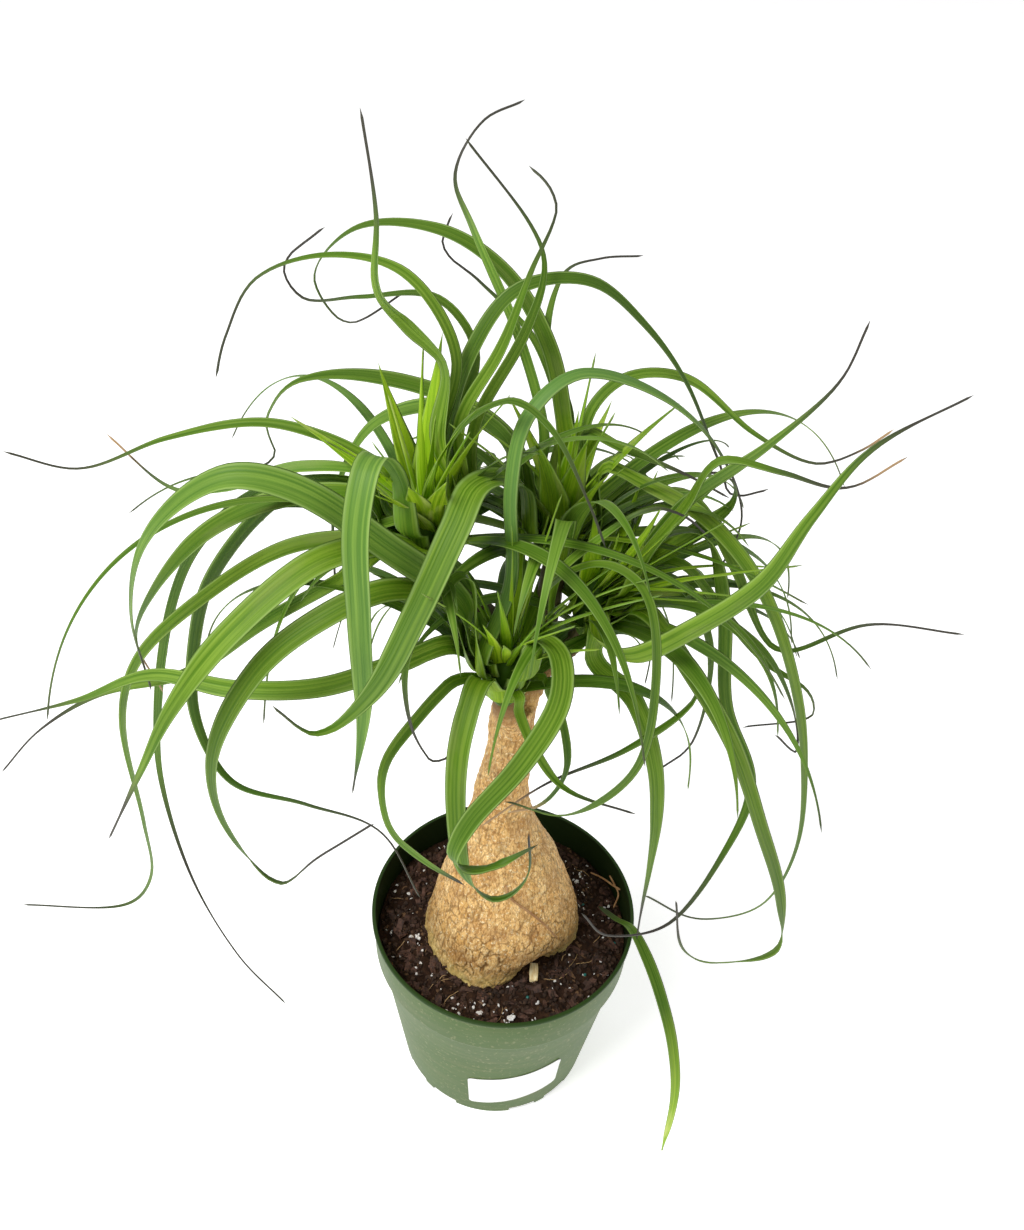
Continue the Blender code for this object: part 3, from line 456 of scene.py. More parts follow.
def makeMix():
    mm = millimetre
    rings, sectors = mix["rings"], mix["sectors"]
    points, faces = [], []
    for ring in range(rings + 1):
        radius = mix["innerRadius"] + (mix["radius"] - mix["innerRadius"]) * ring / rings
        for sector in range(sectors):
            turn = 2 * math.pi * sector / sectors
            x, y = radius * math.cos(turn), radius * math.sin(turn)
            points.append((x * mm, y * mm, mixHeight(x, y) * mm))
    wallSteps = [(76.3, 111.0), (73.5, 106.0), (wallRadius(60) - 1.8, 60.0),
                 (wallRadius(4) - 1.9, 4.0), (30.0, mix["under"])]
    for radius, height in wallSteps:
        for sector in range(sectors):
            turn = 2 * math.pi * sector / sectors
            points.append((radius * math.cos(turn) * mm, radius * math.sin(turn) * mm,
                           height * mm))
    layers = rings + 1 + len(wallSteps)
    for layer in range(layers - 1):
        for sector in range(sectors):
            after = (sector + 1) % sectors
            a, b = layer * sectors + sector, layer * sectors + after
            faces.append((a, a + sectors, b + sectors, b))
    for first, flip in ((0, False), ((layers - 1) * sectors, True)):
        middle = len(points)
        height = mix["middle"] if first == 0 else mix["under"]
        points.append((0, 0, height * mm))
        for sector in range(sectors):
            pair = (first + sector, first + (sector + 1) % sectors)
            faces.append((middle, pair[1], pair[0]) if flip else (middle, *pair))
    body = meshPiece("pottingMix", points, faces)
    return finishPiece(body, peatMix(), "potting_mix", "soil")


def scatterSpots(count, rng, low, high):      # even places between two distances from the middle
    spots = []
    for _ in range(count):
        turn, reach = rng.uniform(0, 2 * math.pi), math.sqrt(rng.uniform(low ** 2, high ** 2))
        spots.append((reach * math.cos(turn), reach * math.sin(turn)))
    return spots


def startShape(kind):               # one low shape of each kind, shaped once and then copied
    clearSelection()
    if kind == "crumb":
        bpy.ops.mesh.primitive_ico_sphere_add(subdivisions=1, radius=1.0, location=(0, 0, 0))
    elif kind == "grain":
        bpy.ops.mesh.primitive_ico_sphere_add(subdivisions=2, radius=1.0, location=(0, 0, 0))
    else:
        bpy.ops.mesh.primitive_cube_add(size=2.0, location=(0, 0, 0))
        editAll()
        bpy.ops.mesh.subdivide(number_cuts=2)
        bpy.ops.object.mode_set(mode="OBJECT")
    shape = bpy.context.object
    points = np.array([v.co[:] for v in shape.data.vertices])
    faces = [tuple(p.vertices) for p in shape.data.polygons]
    bpy.data.objects.remove(shape, do_unlink=True)
    return points, faces


# Copies of one shape on the mix. Sizes are the least and most of length, width and height
def scatter(name, kind, spots, sizes, rng, material, sink, uneven, flatTurn=0.35):
    base, baseFaces = startShape(kind)
    points, faces = [], []
    for x, y in spots:
        size = [rng.uniform(*pair) / 2 for pair in sizes]
        shift = rng.uniform(0, 50)
        turn = Matrix.Rotation(rng.uniform(0, 2 * math.pi), 3, "Z")
        tilt = Matrix.Rotation(rng.gauss(0, flatTurn), 3, "X")
        tilt = tilt @ Matrix.Rotation(rng.gauss(0, flatTurn), 3, "Y")
        centre = Vector((x, y, mixHeight(x, y) + size[2] * (1 - 2 * sink)))
        first = len(points)
        for p in base:
            wave = 1 + uneven * noise.noise(Vector(p) * 1.3 + Vector((shift, 0, 0)))
            wave += 0.5 * uneven * noise.noise(Vector(p) * 3.1 + Vector((0, shift, 0)))
            local = Vector((p[0] * size[0], p[1] * size[1], p[2] * size[2])) * wave
            points.append((centre + turn @ (tilt @ local)) * millimetre)
        faces += [tuple(first + i for i in face) for face in baseFaces]
    piece = meshPiece(name, points, faces, smooth=False)
    return finishPiece(piece, material, "potting_mix")


def grainy(name, dark, light, roughness, size, bump=0.3):      # one dull, uneven natural stuff
    material, tree, _ = newMaterial(name, roughness, 1.45)
    place = addNode(tree, "TexCoord").outputs["Object"]
    grain = addNode(tree, "TexNoise", {"Vector": place, "Scale": perMetre(size), "Detail": 5.0,
                                       "Roughness": 0.65})
    spread = addNode(tree, "TexVoronoi", {"Vector": place, "Scale": perMetre(9 * size)})
    share = addNode(tree, "SeparateColor", {"Color": spread.outputs["Color"]})
    colour = layTints(tree, dark, [(grain.outputs[0], 0.3, 0.7, 0, 1, light),
                                   (share.outputs[0], 0.2, 0.9, 0, 0.5, dark)])
    return dress(material, colour, grain.outputs[0], bump, 0.8)


def makeFibres(spots, rng, material):
    points, faces = [], []
    for x, y in spots:
        turn, length = rng.uniform(0, 2 * math.pi), rng.uniform(5, 17)
        bend, thick = rng.uniform(-0.12, 0.12), rng.uniform(0.14, 0.3)
        first = len(points)
        steps = 9
        for step in range(steps + 1):
            here = Vector((x, y, mixHeight(x, y) + 1.0 + 0.5 * math.sin(step * 0.6 + turn)))
            side = Vector((-math.sin(turn), math.cos(turn), 0))
            narrow = thick * (0.3 if step in (0, steps) else 1.0)
            for corner in range(4):
                angle = math.pi / 2 * corner
                points.append((here + side * math.cos(angle) * narrow
                               + Vector((0, 0, math.sin(angle) * narrow))) * millimetre)
            x += math.cos(turn) * length / steps
            y += math.sin(turn) * length / steps
            turn += bend + rng.gauss(0, 0.08)
        for step in range(steps):
            for corner in range(4):
                a, b = first + step * 4 + corner, first + step * 4 + (corner + 1) % 4
                faces.append((a, b, b + 4, a + 4))
        last = first + steps * 4
        faces.append((first + 3, first + 2, first + 1, first))
        faces.append((last, last + 1, last + 2, last + 3))
    piece = meshPiece("mixFibres", points, faces)
    bm = bmesh.new()
    bm.from_mesh(piece.data)
    bmesh.ops.recalc_face_normals(bm, faces=bm.faces)
    bm.to_mesh(piece.data)
    bm.free()
    return finishPiece(piece, material, "potting_mix")


def makeTopping():
    rng = random.Random(mix["seed"])
    fines = grainy("composted bark, damp", "#1f120d", "#6e4c3b", 0.75, 2.381)
    crumbs = grainy("peat crumbs", "#150c08", "#5c4230", 0.9, 2.0)
    perlite = grainy("perlite, popped mineral", "#d9d4cc", "#ffffff", 0.8, 1.4286, 0.2)
    straw = grainy("dry root and straw fibre", "#8b6a45", "#c9a878", 0.75, 3.3333, 0.1)
    feed = grainy("coated feed granule", "#1d5a55", "#2f8076", 0.4, 3.3333, 0.1)
    scatter("peatCrumbs", "crumb", scatterSpots(mix["crumbs"], rng, 36, 74),
            [(1.3, 4.0), (1.3, 3.4), (1.2, 3.2)], rng, crumbs, sink=0.25, uneven=0.7)
    scatter("barkFlakes", "flake", scatterSpots(mix["flakes"], rng, 42, 71),
            [(2.2, 7.5), (1.6, 4.0), (0.9, 2.2)], rng, fines, sink=0.05, uneven=0.7,
            flatTurn=0.5)
    spots = scatterSpots(mix["perlite"], rng, 40, 73)
    for x, y in mix["pockets"]:
        spots += [(x + rng.gauss(0, 5), y + rng.gauss(0, 4)) for _ in range(mix["pocketGrains"])]
    scatter("perliteGrains", "grain", spots, [(0.5, 2.4), (0.5, 2.2), (0.6, 2.0)],
            rng, perlite, sink=0.05, uneven=0.5)
    spots = [(x + rng.gauss(0, 3), y + rng.gauss(0, 3))
             for x, y in mix["pockets"] for _ in range(mix["pocketLumps"])]
    scatter("perliteLumps", "grain", spots, [(2.4, 3.8), (2.2, 3.2), (2.0, 2.8)],
            rng, perlite, sink=0.05, uneven=0.6)
    scatter("feedGranules", "grain", scatterSpots(mix["granules"], rng, 48, 72),
            [(1.8, 2.4), (1.8, 2.4), (1.6, 2.0)], rng, feed, sink=0.3, uneven=0.1)
    makeFibres(scatterSpots(mix["fibres"], rng, 42, 66), rng, straw)


# Wood splinter, lying on the mix at the foot of the trunk
splinter = {"bevel": 0.4, "cuts": 3, "split": 0.28, "bow": 0.9, "taper": 0.25}


def makeChip():
    # Split softwood: pale, with its grain along the chip
    low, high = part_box("wood_chip")
    material, tree, _ = newMaterial("split softwood, dry", 0.7, 1.5)
    place = addNode(tree, "TexCoord").outputs["Object"]
    along = addNode(tree, "Mapping", {"Vector": place, "Scale": perMetre(0.5556, 3.846, 1.111),
                                      "Rotation": (0, 0, math.radians(-8))})
    grain = addNode(tree, "TexNoise", {"Vector": along.outputs[0], "Scale": 1.0, "Detail": 4.0})
    colour = layTints(tree, "#d8b878", [(grain.outputs[0], 0.35, 0.65, 0, 1, "#fbeec0")])
    dress(material, colour, grain.outputs[0], 0.3, 0.8)
    clearSelection()
    size = high - low
    bpy.ops.mesh.primitive_cube_add(size=1.0, location=(low + high) / 2,
                                    scale=(size.x * 1.1, size.y * 1.05, size.z * 0.98))
    chip = bpy.context.object
    chip.name = "woodSplinter"
    bpy.ops.object.transform_apply(location=True, rotation=True, scale=True)
    editAll()
    bpy.ops.mesh.bevel(offset=splinter["bevel"] * millimetre, segments=2)
    bpy.ops.mesh.select_all(action="SELECT")
    bpy.ops.mesh.subdivide(number_cuts=splinter["cuts"])
    bpy.ops.object.mode_set(mode="OBJECT")
    centre = (low + high) / 2
    for vert in chip.data.vertices:
        away = vert.co - centre
        nearEnd = abs(away.y / size.y)
        split = noise.noise(Vector((vert.co.x * 2600, vert.co.y * 240, 4.0)))
        vert.co.z += splinter["split"] * millimetre * split
        vert.co.y -= splinter["bow"] * millimetre * nearEnd * noise.noise(vert.co * 1900)
        vert.co.x -= away.x * splinter["taper"] * nearEnd
    bpy.ops.object.shade_smooth_by_angle(angle=math.radians(30))
    return finishPiece(chip, material, "wood", "wood_chip")


makeMix()
makeTopping()
makeChip()
print("potting mix ready")


# Trunk: swollen base, neck and branches under cork

bark = {"voxel": 0.92, "plate": 5.2, "stretch": 1.7, "footTop": 126.0, "bulbTop": 188.0,
        "neckFrom": 205.0, "crackDeep": 0.7, "ridgeDeep": 0.45, "ringDeep": 0.28,
        "mossFrom": 133.0, "mossTo": 119.0, "branchFrom": 310.0, "branchTo": 345.0}


def corkBark():
    # Living cork on a swollen stem: golden tan plates, brown fissures, pale waxy flecks
    material, tree, _ = newMaterial("cork bark, fissured", 0.72, 1.45, Specular_IOR_Level=0.35)
    mm = millimetre
    place = addNode(tree, "TexCoord").outputs["Object"]
    height = addNode(tree, "SeparateXYZ", {"Vector": place}).outputs["Z"]
    tone = addNode(tree, "Attribute", attribute_name="barkTone")
    parts = addNode(tree, "SeparateColor", {"Color": tone.outputs["Color"]})
    crack, plate, brown = parts.outputs[0], parts.outputs[1], parts.outputs[2]
    fine = addNode(tree, "TexNoise", {"Vector": place, "Scale": perMetre(1.5625), "Detail": 4.0,
                                      "Roughness": 0.6})
    long = addNode(tree, "Mapping", {"Vector": place, "Scale": perMetre(1.2195, 1.2195, 4.762)})
    streak = addNode(tree, "TexNoise", {"Vector": long.outputs[0], "Scale": 1.0, "Detail": 3.0})
    broad = addNode(tree, "TexNoise", {"Vector": place, "Scale": perMetre(14.286),
                                       "Detail": 2.0})
    pits = addNode(tree, "TexVoronoi", {"Vector": place, "Scale": perMetre(6.6667)})
    warp = addNode(tree, "TexNoise", {"Vector": place, "Scale": perMetre(3.3333),
                                      "Detail": 2.0})
    bent = addNode(tree, "VectorMath", {0: warp.outputs[1], 1: (3 * mm, 3 * mm, 3 * mm),
                                        2: place}, operation="MULTIPLY_ADD")
    tall = addNode(tree, "Mapping", {"Vector": bent.outputs[0],
                                     "Scale": perMetre(2.0833, 2.0833, 7.143)})
    crackle = addNode(tree, "TexVoronoi", {"Vector": tall.outputs[0], "Scale": 1.0},
                      feature="DISTANCE_TO_EDGE")
    foot = addNode(tree, "MapRange", {"Value": height, 1: bark["mossFrom"] * mm,
                                      2: bark["mossTo"] * mm})
    patch = addNode(tree, "TexNoise", {"Vector": place, "Scale": perMetre(11.11), "Detail": 3.0})
    patches = addNode(tree, "MapRange", {"Value": patch.outputs[0], 1: 0.35, 2: 0.65,
                                         3: 0.1, 4: 0.75})
    footShare = addNode(tree, "Math", {0: foot.outputs[0], 1: patches.outputs[0]},
                        operation="MULTIPLY")
    colour = layTints(tree, "#e2b268", [
        (plate, 0, 1, 0, 1, "#f4cf8e"),
        (broad.outputs[0], 0.45, 0.7, 0, 0.45, "#cf9552"),
        (streak.outputs[0], 0.5, 0.6, 0, 0.75, "#a5743a"),
        (fine.outputs[0], 0.56, 0.66, 0, 0.85, "#fff0c4"),              # waxy flecks
        (pits.outputs[0], 0.03, 0.07, 0.8, 0, "#6b4722"),
        (crackle.outputs["Distance"], 0.02, 0.09, 0.55, 0, "#a3733c"),
        (crack, 0, 1, 0, 1, "#62421a"),
        (brown, 0, 1, 0, 1, "#a0713e"),
        (height, bark["branchFrom"] * mm, bark["branchTo"] * mm, 0, 1, "#4c4424"),
        (footShare.outputs[0], 0, 1, 0, 1, "#ddc878")])                 # pale green at the mix
    return dress(material, colour, fine.outputs[0], 0.5, 0.8)


def barkPattern(point):             # height, crack, plate tone and brownness at a point
    x, y, z = (value / millimetre for value in point)
    here = Vector((x, y, z))
    up = easeBetween(bark["footTop"], bark["bulbTop"], z)
    neck = easeBetween(bark["neckFrom"], bark["neckFrom"] + 35, z)
    # Cork plates: cells stretched upwards, bent a little, and cracked apart along their edges
    cell, stretch = bark["plate"], bark["stretch"]
    warp = Vector((noise.noise(here / 7.0), noise.noise(here / 7.0 + Vector((9, 0, 0))),
                   noise.noise(here / 7.0 + Vector((0, 9, 0))))) * 1.3
    level = mix["top"] + (z - mix["top"]) / stretch
    near, spots = noise.voronoi(Vector(((x + warp.x) / cell, (y + warp.y) / cell,
                                        (level + warp.z) / cell)))
    gap = near[1] - near[0]
    plate = 0.5 + 0.9 * noise.noise(Vector(spots[0]) * 7.3)
    crack = 1 - easeBetween(0.02, 0.11 + 0.05 * up, gap)
    crack *= 0.35 + 0.65 * easeBetween(-0.3, 0.25, noise.noise(here / 9.0 + Vector((7, 0, 0))))
    crack *= 1 - 0.5 * up
    deep = bark["crackDeep"] + (bark["ridgeDeep"] - bark["crackDeep"]) * up
    height = -deep * crack + 0.18 * easeBetween(0, 0.5, gap) * (1 - 0.7 * up)
    height += (0.2 + 0.25 * up) * noise.noise(Vector((x / 1.3, y / 1.3, z / (1.6 + 3.2 * up))))
    height += 0.8 * noise.noise(here / 17.0)
    # Rings of old leaf scars on the neck, and knobs where the base meets the mix
    ring = math.sin(z * 0.8 + 5.0 * noise.noise(here / 21.0) + math.atan2(y, x))
    ring *= neck * (0.5 + 0.9 * noise.noise(here / 9.0 + Vector((0, 0, 4))))
    height += bark["ringDeep"] * ring
    lump = 1 - easeBetween(119, 131, z)
    height += lump * (1.3 * noise.noise(here / 5.0) + 0.5)
    brown = 0.4 * easeBetween(0.1, 0.55, noise.noise(here / 11.0 + Vector((0, 5, 0))))
    brown += 0.3 * neck * easeBetween(0.25, 0.8, -ring)
    brown = max(brown, easeBetween(300, 330, z))
    return height, crack, min(max(plate, 0.0), 1.0), min(brown, 1.0)


def makeTrunk():
    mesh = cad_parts["trunk"].data.copy()
    bm = welded(mesh)
    bm.to_mesh(mesh)
    bm.free()
    trunk = bpy.data.objects.new("corkTrunk", mesh)
    bpy.context.collection.objects.link(trunk)
    applyModifier(trunk, "REMESH", mode="VOXEL", voxel_size=bark["voxel"] * millimetre,
                  use_smooth_shade=True)
    applyModifier(trunk, "SMOOTH", factor=0.5, iterations=20)
    mesh = trunk.data
    normals = [v.normal.copy() for v in mesh.vertices]
    tones = np.ones((len(mesh.vertices), 4), np.float32)
    for index, vert in enumerate(mesh.vertices):
        height, crack, plate, brown = barkPattern(vert.co)
        tones[index, :3] = crack, plate, brown
        vert.co += normals[index] * (height * millimetre)
    layer = mesh.attributes.new("barkTone", "FLOAT_COLOR", "POINT")
    layer.data.foreach_set("color", tones.ravel())
    mesh.polygons.foreach_set("use_smooth", [True] * len(mesh.polygons))
    print("trunk triangles", 2 * len(mesh.polygons))
    return finishPiece(trunk, corkBark(), "cork_bark", "trunk")


makeTrunk()
print("trunk ready")


# Leaves: ribbed straps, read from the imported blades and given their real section

leaf = {"step": 3.4, "thick": 0.6, "rib": 0.07, "baseWide": 1.2, "baseMost": 16.0,
        "baseCurl": 8.5, "curlRun": 40.0, "channel": 1.9, "tipWide": 0.95, "seed": 5,
        "slim": 0.92, "heartLift": 15.0, "archStep": 5.0, "archRing": 4.0, "archThick": 0.45}

# Blades slimmer than their packed strap, which keeps a margin round each
slimmer = {"leaf_top_09": 0.66, "leaf_top_10": 0.6, "leaf_top_08": 0.75, "leaf_top_04": 0.8,
           "leaf_top_05": 0.75, "leaf_top_06": 0.7, "leaf_left_13": 0.78, "leaf_left_09": 0.66,
           "leaf_left_10": 0.75, "leaf_left_11": 0.75, "leaf_left_15": 0.75,
           "leaf_right_08": 0.85, "leaf_right_09": 0.75, "leaf_right_11": 0.6,
           "leaf_right_12": 0.7, "leaf_left_05": 0.8, "leaf_left_03": 0.85,
           "leaf_front_12": 0.8, "leaf_top_03": 0.95, "leaf_right_04": 0.85}

# Blades that stay broad right to the end, with that width
broadEnds = {"leaf_front_02": 5.0, "leaf_front_10": 4.8, "leaf_front_04": 3.4,
             "leaf_front_05": 5.5, "leaf_front_01": 5.0}

# Ends that have dried to tan; the others go thin and slate purple
driedEnds = {"leaf_right_11": 0.14, "leaf_left_06": 0.16, "leaf_left_08": 0.14,
             "leaf_top_06": 0.10, "leaf_front_04": 0.25, "leaf_right_02": 0.18}


def leafGreen():
    # A living monocot blade: waxy, finely ribbed lengthways, lime at the base,
    # with a painted highlight line just inside the margin and painted shade along the margin
    material, tree, _ = newMaterial("palm leaf, living blade", 0.48, 1.4,
                                    Specular_IOR_Level=0.22)
    place = addNode(tree, "Attribute", attribute_name="bladePlace")     # millimetres
    tone = addNode(tree, "Attribute", attribute_name="bladeTone")
    tan = addNode(tree, "Attribute", attribute_name="driedEnd").outputs["Fac"]
    parts = addNode(tree, "SeparateColor", {"Color": tone.outputs["Color"]})
    young, tip, edge = parts.outputs[0], parts.outputs[1], parts.outputs[2]
    seed = tone.outputs["Alpha"]
    # Ribs are 0.9 wide and run 100 along the blade, and clouds are 8 by 45
    fine = addNode(tree, "Mapping", {"Vector": place.outputs["Vector"],
                                     "Scale": (1 / 0.9091, 1 / 100, 1)})
    ribs = addNode(tree, "TexNoise", {"Vector": fine.outputs[0], "Scale": 1.0, "Detail": 2.0,
                                      "Roughness": 0.5}).outputs[0]
    wide = addNode(tree, "Mapping", {"Vector": place.outputs["Vector"],
                                     "Scale": (1 / 8.333, 1 / 45.45, 1)})
    cloud = addNode(tree, "TexNoise", {"Vector": wide.outputs[0], "Scale": 1.0,
                                       "Detail": 3.0}).outputs[0]
    lime = layTints(tree, "#7fae08", [(ribs, 0.36, 0.64, 0, 1, "#b2d42a"),
                                      (cloud, 0.56, 0.68, 0, 0.7, "#d9e57c")])
    colour = layTints(tree, "#4e7412", [
        (ribs, 0.36, 0.64, 0, 1, "#7f9f38"),
        (cloud, 0.35, 0.7, 0, 0.6, "#3f640e"),
        (seed, 0.2, 1, 0, 0.75, "#2a4b0c"),             # some leaves are dark, and a few grey
        (seed, 0, 0.25, 0.55, 0, "#5a8248"),
        (young, 0, 1, 0, 1, lime),
        # a painted highlight line just inside the margin, then painted shade along the margin
        # itself
        (edge, 0.74, 0.86, 0, 0.35, "#a9c274"),
        (edge, 0.9, 1, 0, 0.75, "#31540d"),
        (tip, 0, 1, 0, 1, "#3d3338"),                   # slate purple ends
        (tan, 0, 1, 0, 1, "#a88a66")])
    return dress(material, colour, ribs, 0.6, 0.7)


def smoothLine(points, count):      # even samples along a smooth curve through the points
    points = np.asarray(points, float)
    padded = np.vstack([2 * points[:1] - points[1:2], points, 2 * points[-1:] - points[-2:-1]])
    at = np.linspace(0, len(points) - 1 - 1e-9, count)
    cell = at.astype(int)
    t = (at - cell)[:, None]
    a, b, c, d = (padded[cell + i] for i in range(4))
    return 0.5 * (2 * b + (c - a) * t + (2 * a - 5 * b + 4 * c - d) * t ** 2
                  + (3 * b - a - 3 * c + d) * t ** 3)


def unitRows(rows):
    return rows / np.maximum(np.linalg.norm(rows, axis=1, keepdims=True), 1e-9)


fallenFoot = Vector((108, -88, 20)) * millimetre        # its broad end, outside the pot


def ringsOf(node, head=True):       # a packed blade as rows from heart to tip: middle, across
    bm = welded(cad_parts[node].data)
    bm.verts.ensure_lookup_table()
    heart = Vector(heartOf(node.split("_")[1])) * millimetre if head else fallenFoot
    starts = [v for v in bm.verts if len(v.link_edges) == 4]
    for start in sorted(starts, key=lambda v: (v.co - heart).length, reverse=True):
        seen, layers = {start}, [[start]]
        while True:
            around = []
            for vert in layers[-1]:
                for edge in vert.link_edges:
                    other = edge.other_vert(vert)
                    if other not in seen:
                        seen.add(other)
                        around.append(other)
            if not around:
                break
            layers.append(around)
        if all(len(layer) == 4 for layer in layers[1:]):
            break
    else:
        raise RuntimeError("no tip found on " + node)
    rows = []
    for layer in reversed(layers[1:]):
        points = [v.co.copy() for v in layer]
        pairs = [(p, q) for i, p in enumerate(points) for q in points[i + 1:]]
        left, right = max(pairs, key=lambda pair: (pair[0] - pair[1]).length)
        across = (right - left) / 2
        if rows and across.dot(Vector(rows[-1][1])) < 0:
            across = -across
        rows.append(((left + right) / 2, across))
    tip = layers[0][0].co.copy()
    bm.free()
    middles = np.array([r[0] for r in rows] + [tip]) * 1000
    across = np.array([r[1] for r in rows] + [rows[-1][1] * 0.3]) * 1000
    return middles, across


class Foliage:                      # gathers blades until they become one piece
    def __init__(self):
        self.points, self.faces, self.places, self.tones, self.dried = [], [], [], [], []
        self.count = 0

    def addBlade(self, middles, across, upper, widths, youth, tipDark, dried, seed, curlRadius,
                 faces=None, thick=None):
        count = len(middles)
        n = faces or (16 if widths.max() > 9.5 else 10 if widths.max() > 6 else 6)
        tangents = unitRows(np.gradient(middles, axis=0))
        side = unitRows(across - (across * tangents).sum(1, keepdims=True) * tangents)
        up = np.cross(side, tangents)
        if (up[:6] * upper).sum() < 0:
            side, up = -side, -up
        along = np.concatenate([[0], np.cumsum(np.linalg.norm(np.diff(middles, axis=0), axis=1))])
        s = np.linspace(-1, 1, n + 1)
        half = widths[:, None] / 2
        bend = curlRadius[:, None]
        angle = s[None] * half / bend
        x = bend * np.sin(angle)
        y = bend * (1 - np.cos(angle))
        ribFade = np.clip((widths - 3) / 5, 0, 1)[:, None] * (1 - np.abs(s[None]) ** 4)
        y = y + leaf["rib"] * ribFade * np.where(np.arange(n + 1) % 2 == 0, 1, -1)[None]
        deep = (thick or leaf["thick"]) * (1 - 0.65 * np.abs(s) ** 2.5)[None]
        deep = deep * np.interp(widths, [1.0, 4.0], [1.5, 1.0])[:, None]      # thin ends roll up
        over = middles[:, None] + side[:, None] * x[..., None] + up[:, None] * y[..., None]
        under = over - up[:, None] * deep[..., None]
        ring = np.concatenate([over, under[:, n - 1:0:-1]], axis=1)[:-1]
        size = ring.shape[1]
        first = self.count
        tipPoint = middles[-1]
        self.points.append(np.concatenate([ring.reshape(-1, 3), tipPoint[None]]))
        rowsOf = first + np.arange(count - 1)[:, None] * size + np.arange(size)[None]
        after = np.roll(rowsOf, -1, axis=1)
        quads = np.stack([rowsOf[:-1], after[:-1], after[1:], rowsOf[1:]], axis=-1)
        self.faces += [tuple(q) for q in quads.reshape(-1, 4).tolist()]
        tipIndex = first + (count - 1) * size
        self.faces += [(a, b, tipIndex) for a, b in zip(rowsOf[-1].tolist(), after[-1].tolist())]
        base = rowsOf[0].tolist()
        low = [base[0]] + base[:n:-1] + [base[n]]
        for i in range(n):
            corners = [base[i + 1], base[i], low[i], low[i + 1]]
            kept = [c for j, c in enumerate(corners) if c not in corners[:j]]
            self.faces.append(tuple(kept))
        sRing = np.concatenate([s, s[n - 1:0:-1]])
        places = np.empty((count - 1, size, 3))
        places[..., 0] = sRing[None] * half[:-1]
        places[..., 1] = along[:-1, None]
        places[..., 2] = seed * 97
        tones = np.empty((count - 1, size, 4))
        tones[..., 0] = youth[:-1, None]
        tones[..., 1] = tipDark[:-1, None]
        tones[..., 2] = np.abs(sRing)[None]
        tones[..., 3] = seed
        self.places.append(np.concatenate([places.reshape(-1, 3), places[-1, :1]]))
        self.tones.append(np.concatenate([tones.reshape(-1, 4), tones[-1, :1]]))
        self.dried.append(np.concatenate([np.repeat(dried[:-1], size), dried[-1:]]))
        self.count += (count - 1) * size + 1

    def become(self, name, material, slot, *nodes):
        points = np.concatenate(self.points) * millimetre
        piece = meshPiece(name, points, self.faces)
        mesh = piece.data
        for title, kind, field, rows in (("bladePlace", "FLOAT_VECTOR", "vector", self.places),
                                         ("bladeTone", "FLOAT_COLOR", "color", self.tones),
                                         ("driedEnd", "FLOAT", "value", self.dried)):
            layer = mesh.attributes.new(title, kind, "POINT")
            layer.data.foreach_set(field, np.concatenate(rows).astype(np.float32).ravel())
        return finishPiece(piece, material, slot, *nodes)


def heartOf(head):                  # where a growing tip sits
    low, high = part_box("heart_" + head)
    return np.array([(low.x + high.x) / 2, (low.y + high.y) / 2,
                     low.z + leaf["heartLift"] * millimetre]) * 1000


def makeBlade(node, head, material, rng):
    middles, across = ringsOf(node)
    heart = heartOf(head)
    count = int(np.linalg.norm(np.diff(middles, axis=0), axis=1).sum() / leaf["step"])
    widths = np.linalg.norm(across, axis=1) * 2
    middles = smoothLine(middles, count)
    across = smoothLine(unitRows(across), count)
    widths = smoothLine(widths[:, None], count)[:, 0] * slimmer.get(node, leaf["slim"])
    share = np.linspace(0, 1, count)
    widths *= 1 - 0.24 * np.clip((share - 0.25) / 0.45, 0, 1) ** 1.2      # slimmer outwards
    closing = np.clip((1 - share) / 0.22, 0, 1) ** 0.6
    widths = np.maximum(widths, broadEnds.get(node, 0.0) * closing)
    widths = np.maximum(widths, leaf["tipWide"])
    full = widths.max()
    along = np.arange(count) * leaf["step"]
    # The sheathing foot starts inside the head and wraps it
    inward = heart - middles[0]
    inward[2] = 0
    reach = np.linalg.norm(inward)
    foot = np.array([middles[0] + inward / reach * min(2.5, reach) + [0, 0, -9.0],
                     middles[0] + inward / reach * 1.2 + [0, 0, -4.5]])
    middles = np.vstack([foot, middles])
    around = np.cross([0, 0, 1.0], -inward / reach)
    if (around * across[0]).sum() < 0:
        around = -around
    across = np.vstack([around, around, across])
    along = np.concatenate([[-9.0, -4.5], along])
    sheath = np.clip(1 - along / leaf["curlRun"], 0, 1)
    footWide = min(full * leaf["baseWide"], leaf["baseMost"])
    widths = np.concatenate([[footWide, footWide], widths])
    widths = np.maximum(widths, footWide * sheath ** 0.6 + full * 0.9 * (1 - sheath ** 0.6)
                        * (along < leaf["curlRun"]))
    curl = leaf["baseCurl"] * sheath ** 2 + full * leaf["channel"] * (1 - sheath ** 2)
    share = np.clip(along / along[-1], 0, 1)
    youthRun = rng.uniform(22, 50)
    youth = rng.uniform(0.25, 0.8) * np.clip(1 - along / youthRun, 0, 1) ** 0.8
    youth = np.maximum(youth, rng.uniform(0.0, 0.3) * np.clip(1 - share * 1.4, 0, 1))
    tipDark = np.clip((rng.uniform(2.6, 3.8) - widths) / 2.0, 0, 1) * (share > 0.4) * 0.9
    dryShare = driedEnds.get(node, 0.0)
    dried = np.clip((share - (1 - dryShare)) / max(dryShare * 0.5, 0.01), 0, 1) * (dryShare > 0)
    foliage = Foliage()
    foliage.addBlade(middles, across, np.array([inward / reach * 0.7 + [0, 0, 0.6]]), widths,
                     youth, tipDark, dried, rng.random(), curl)
    return foliage.become("blade" + node[4:], material, "leaf_green", node)


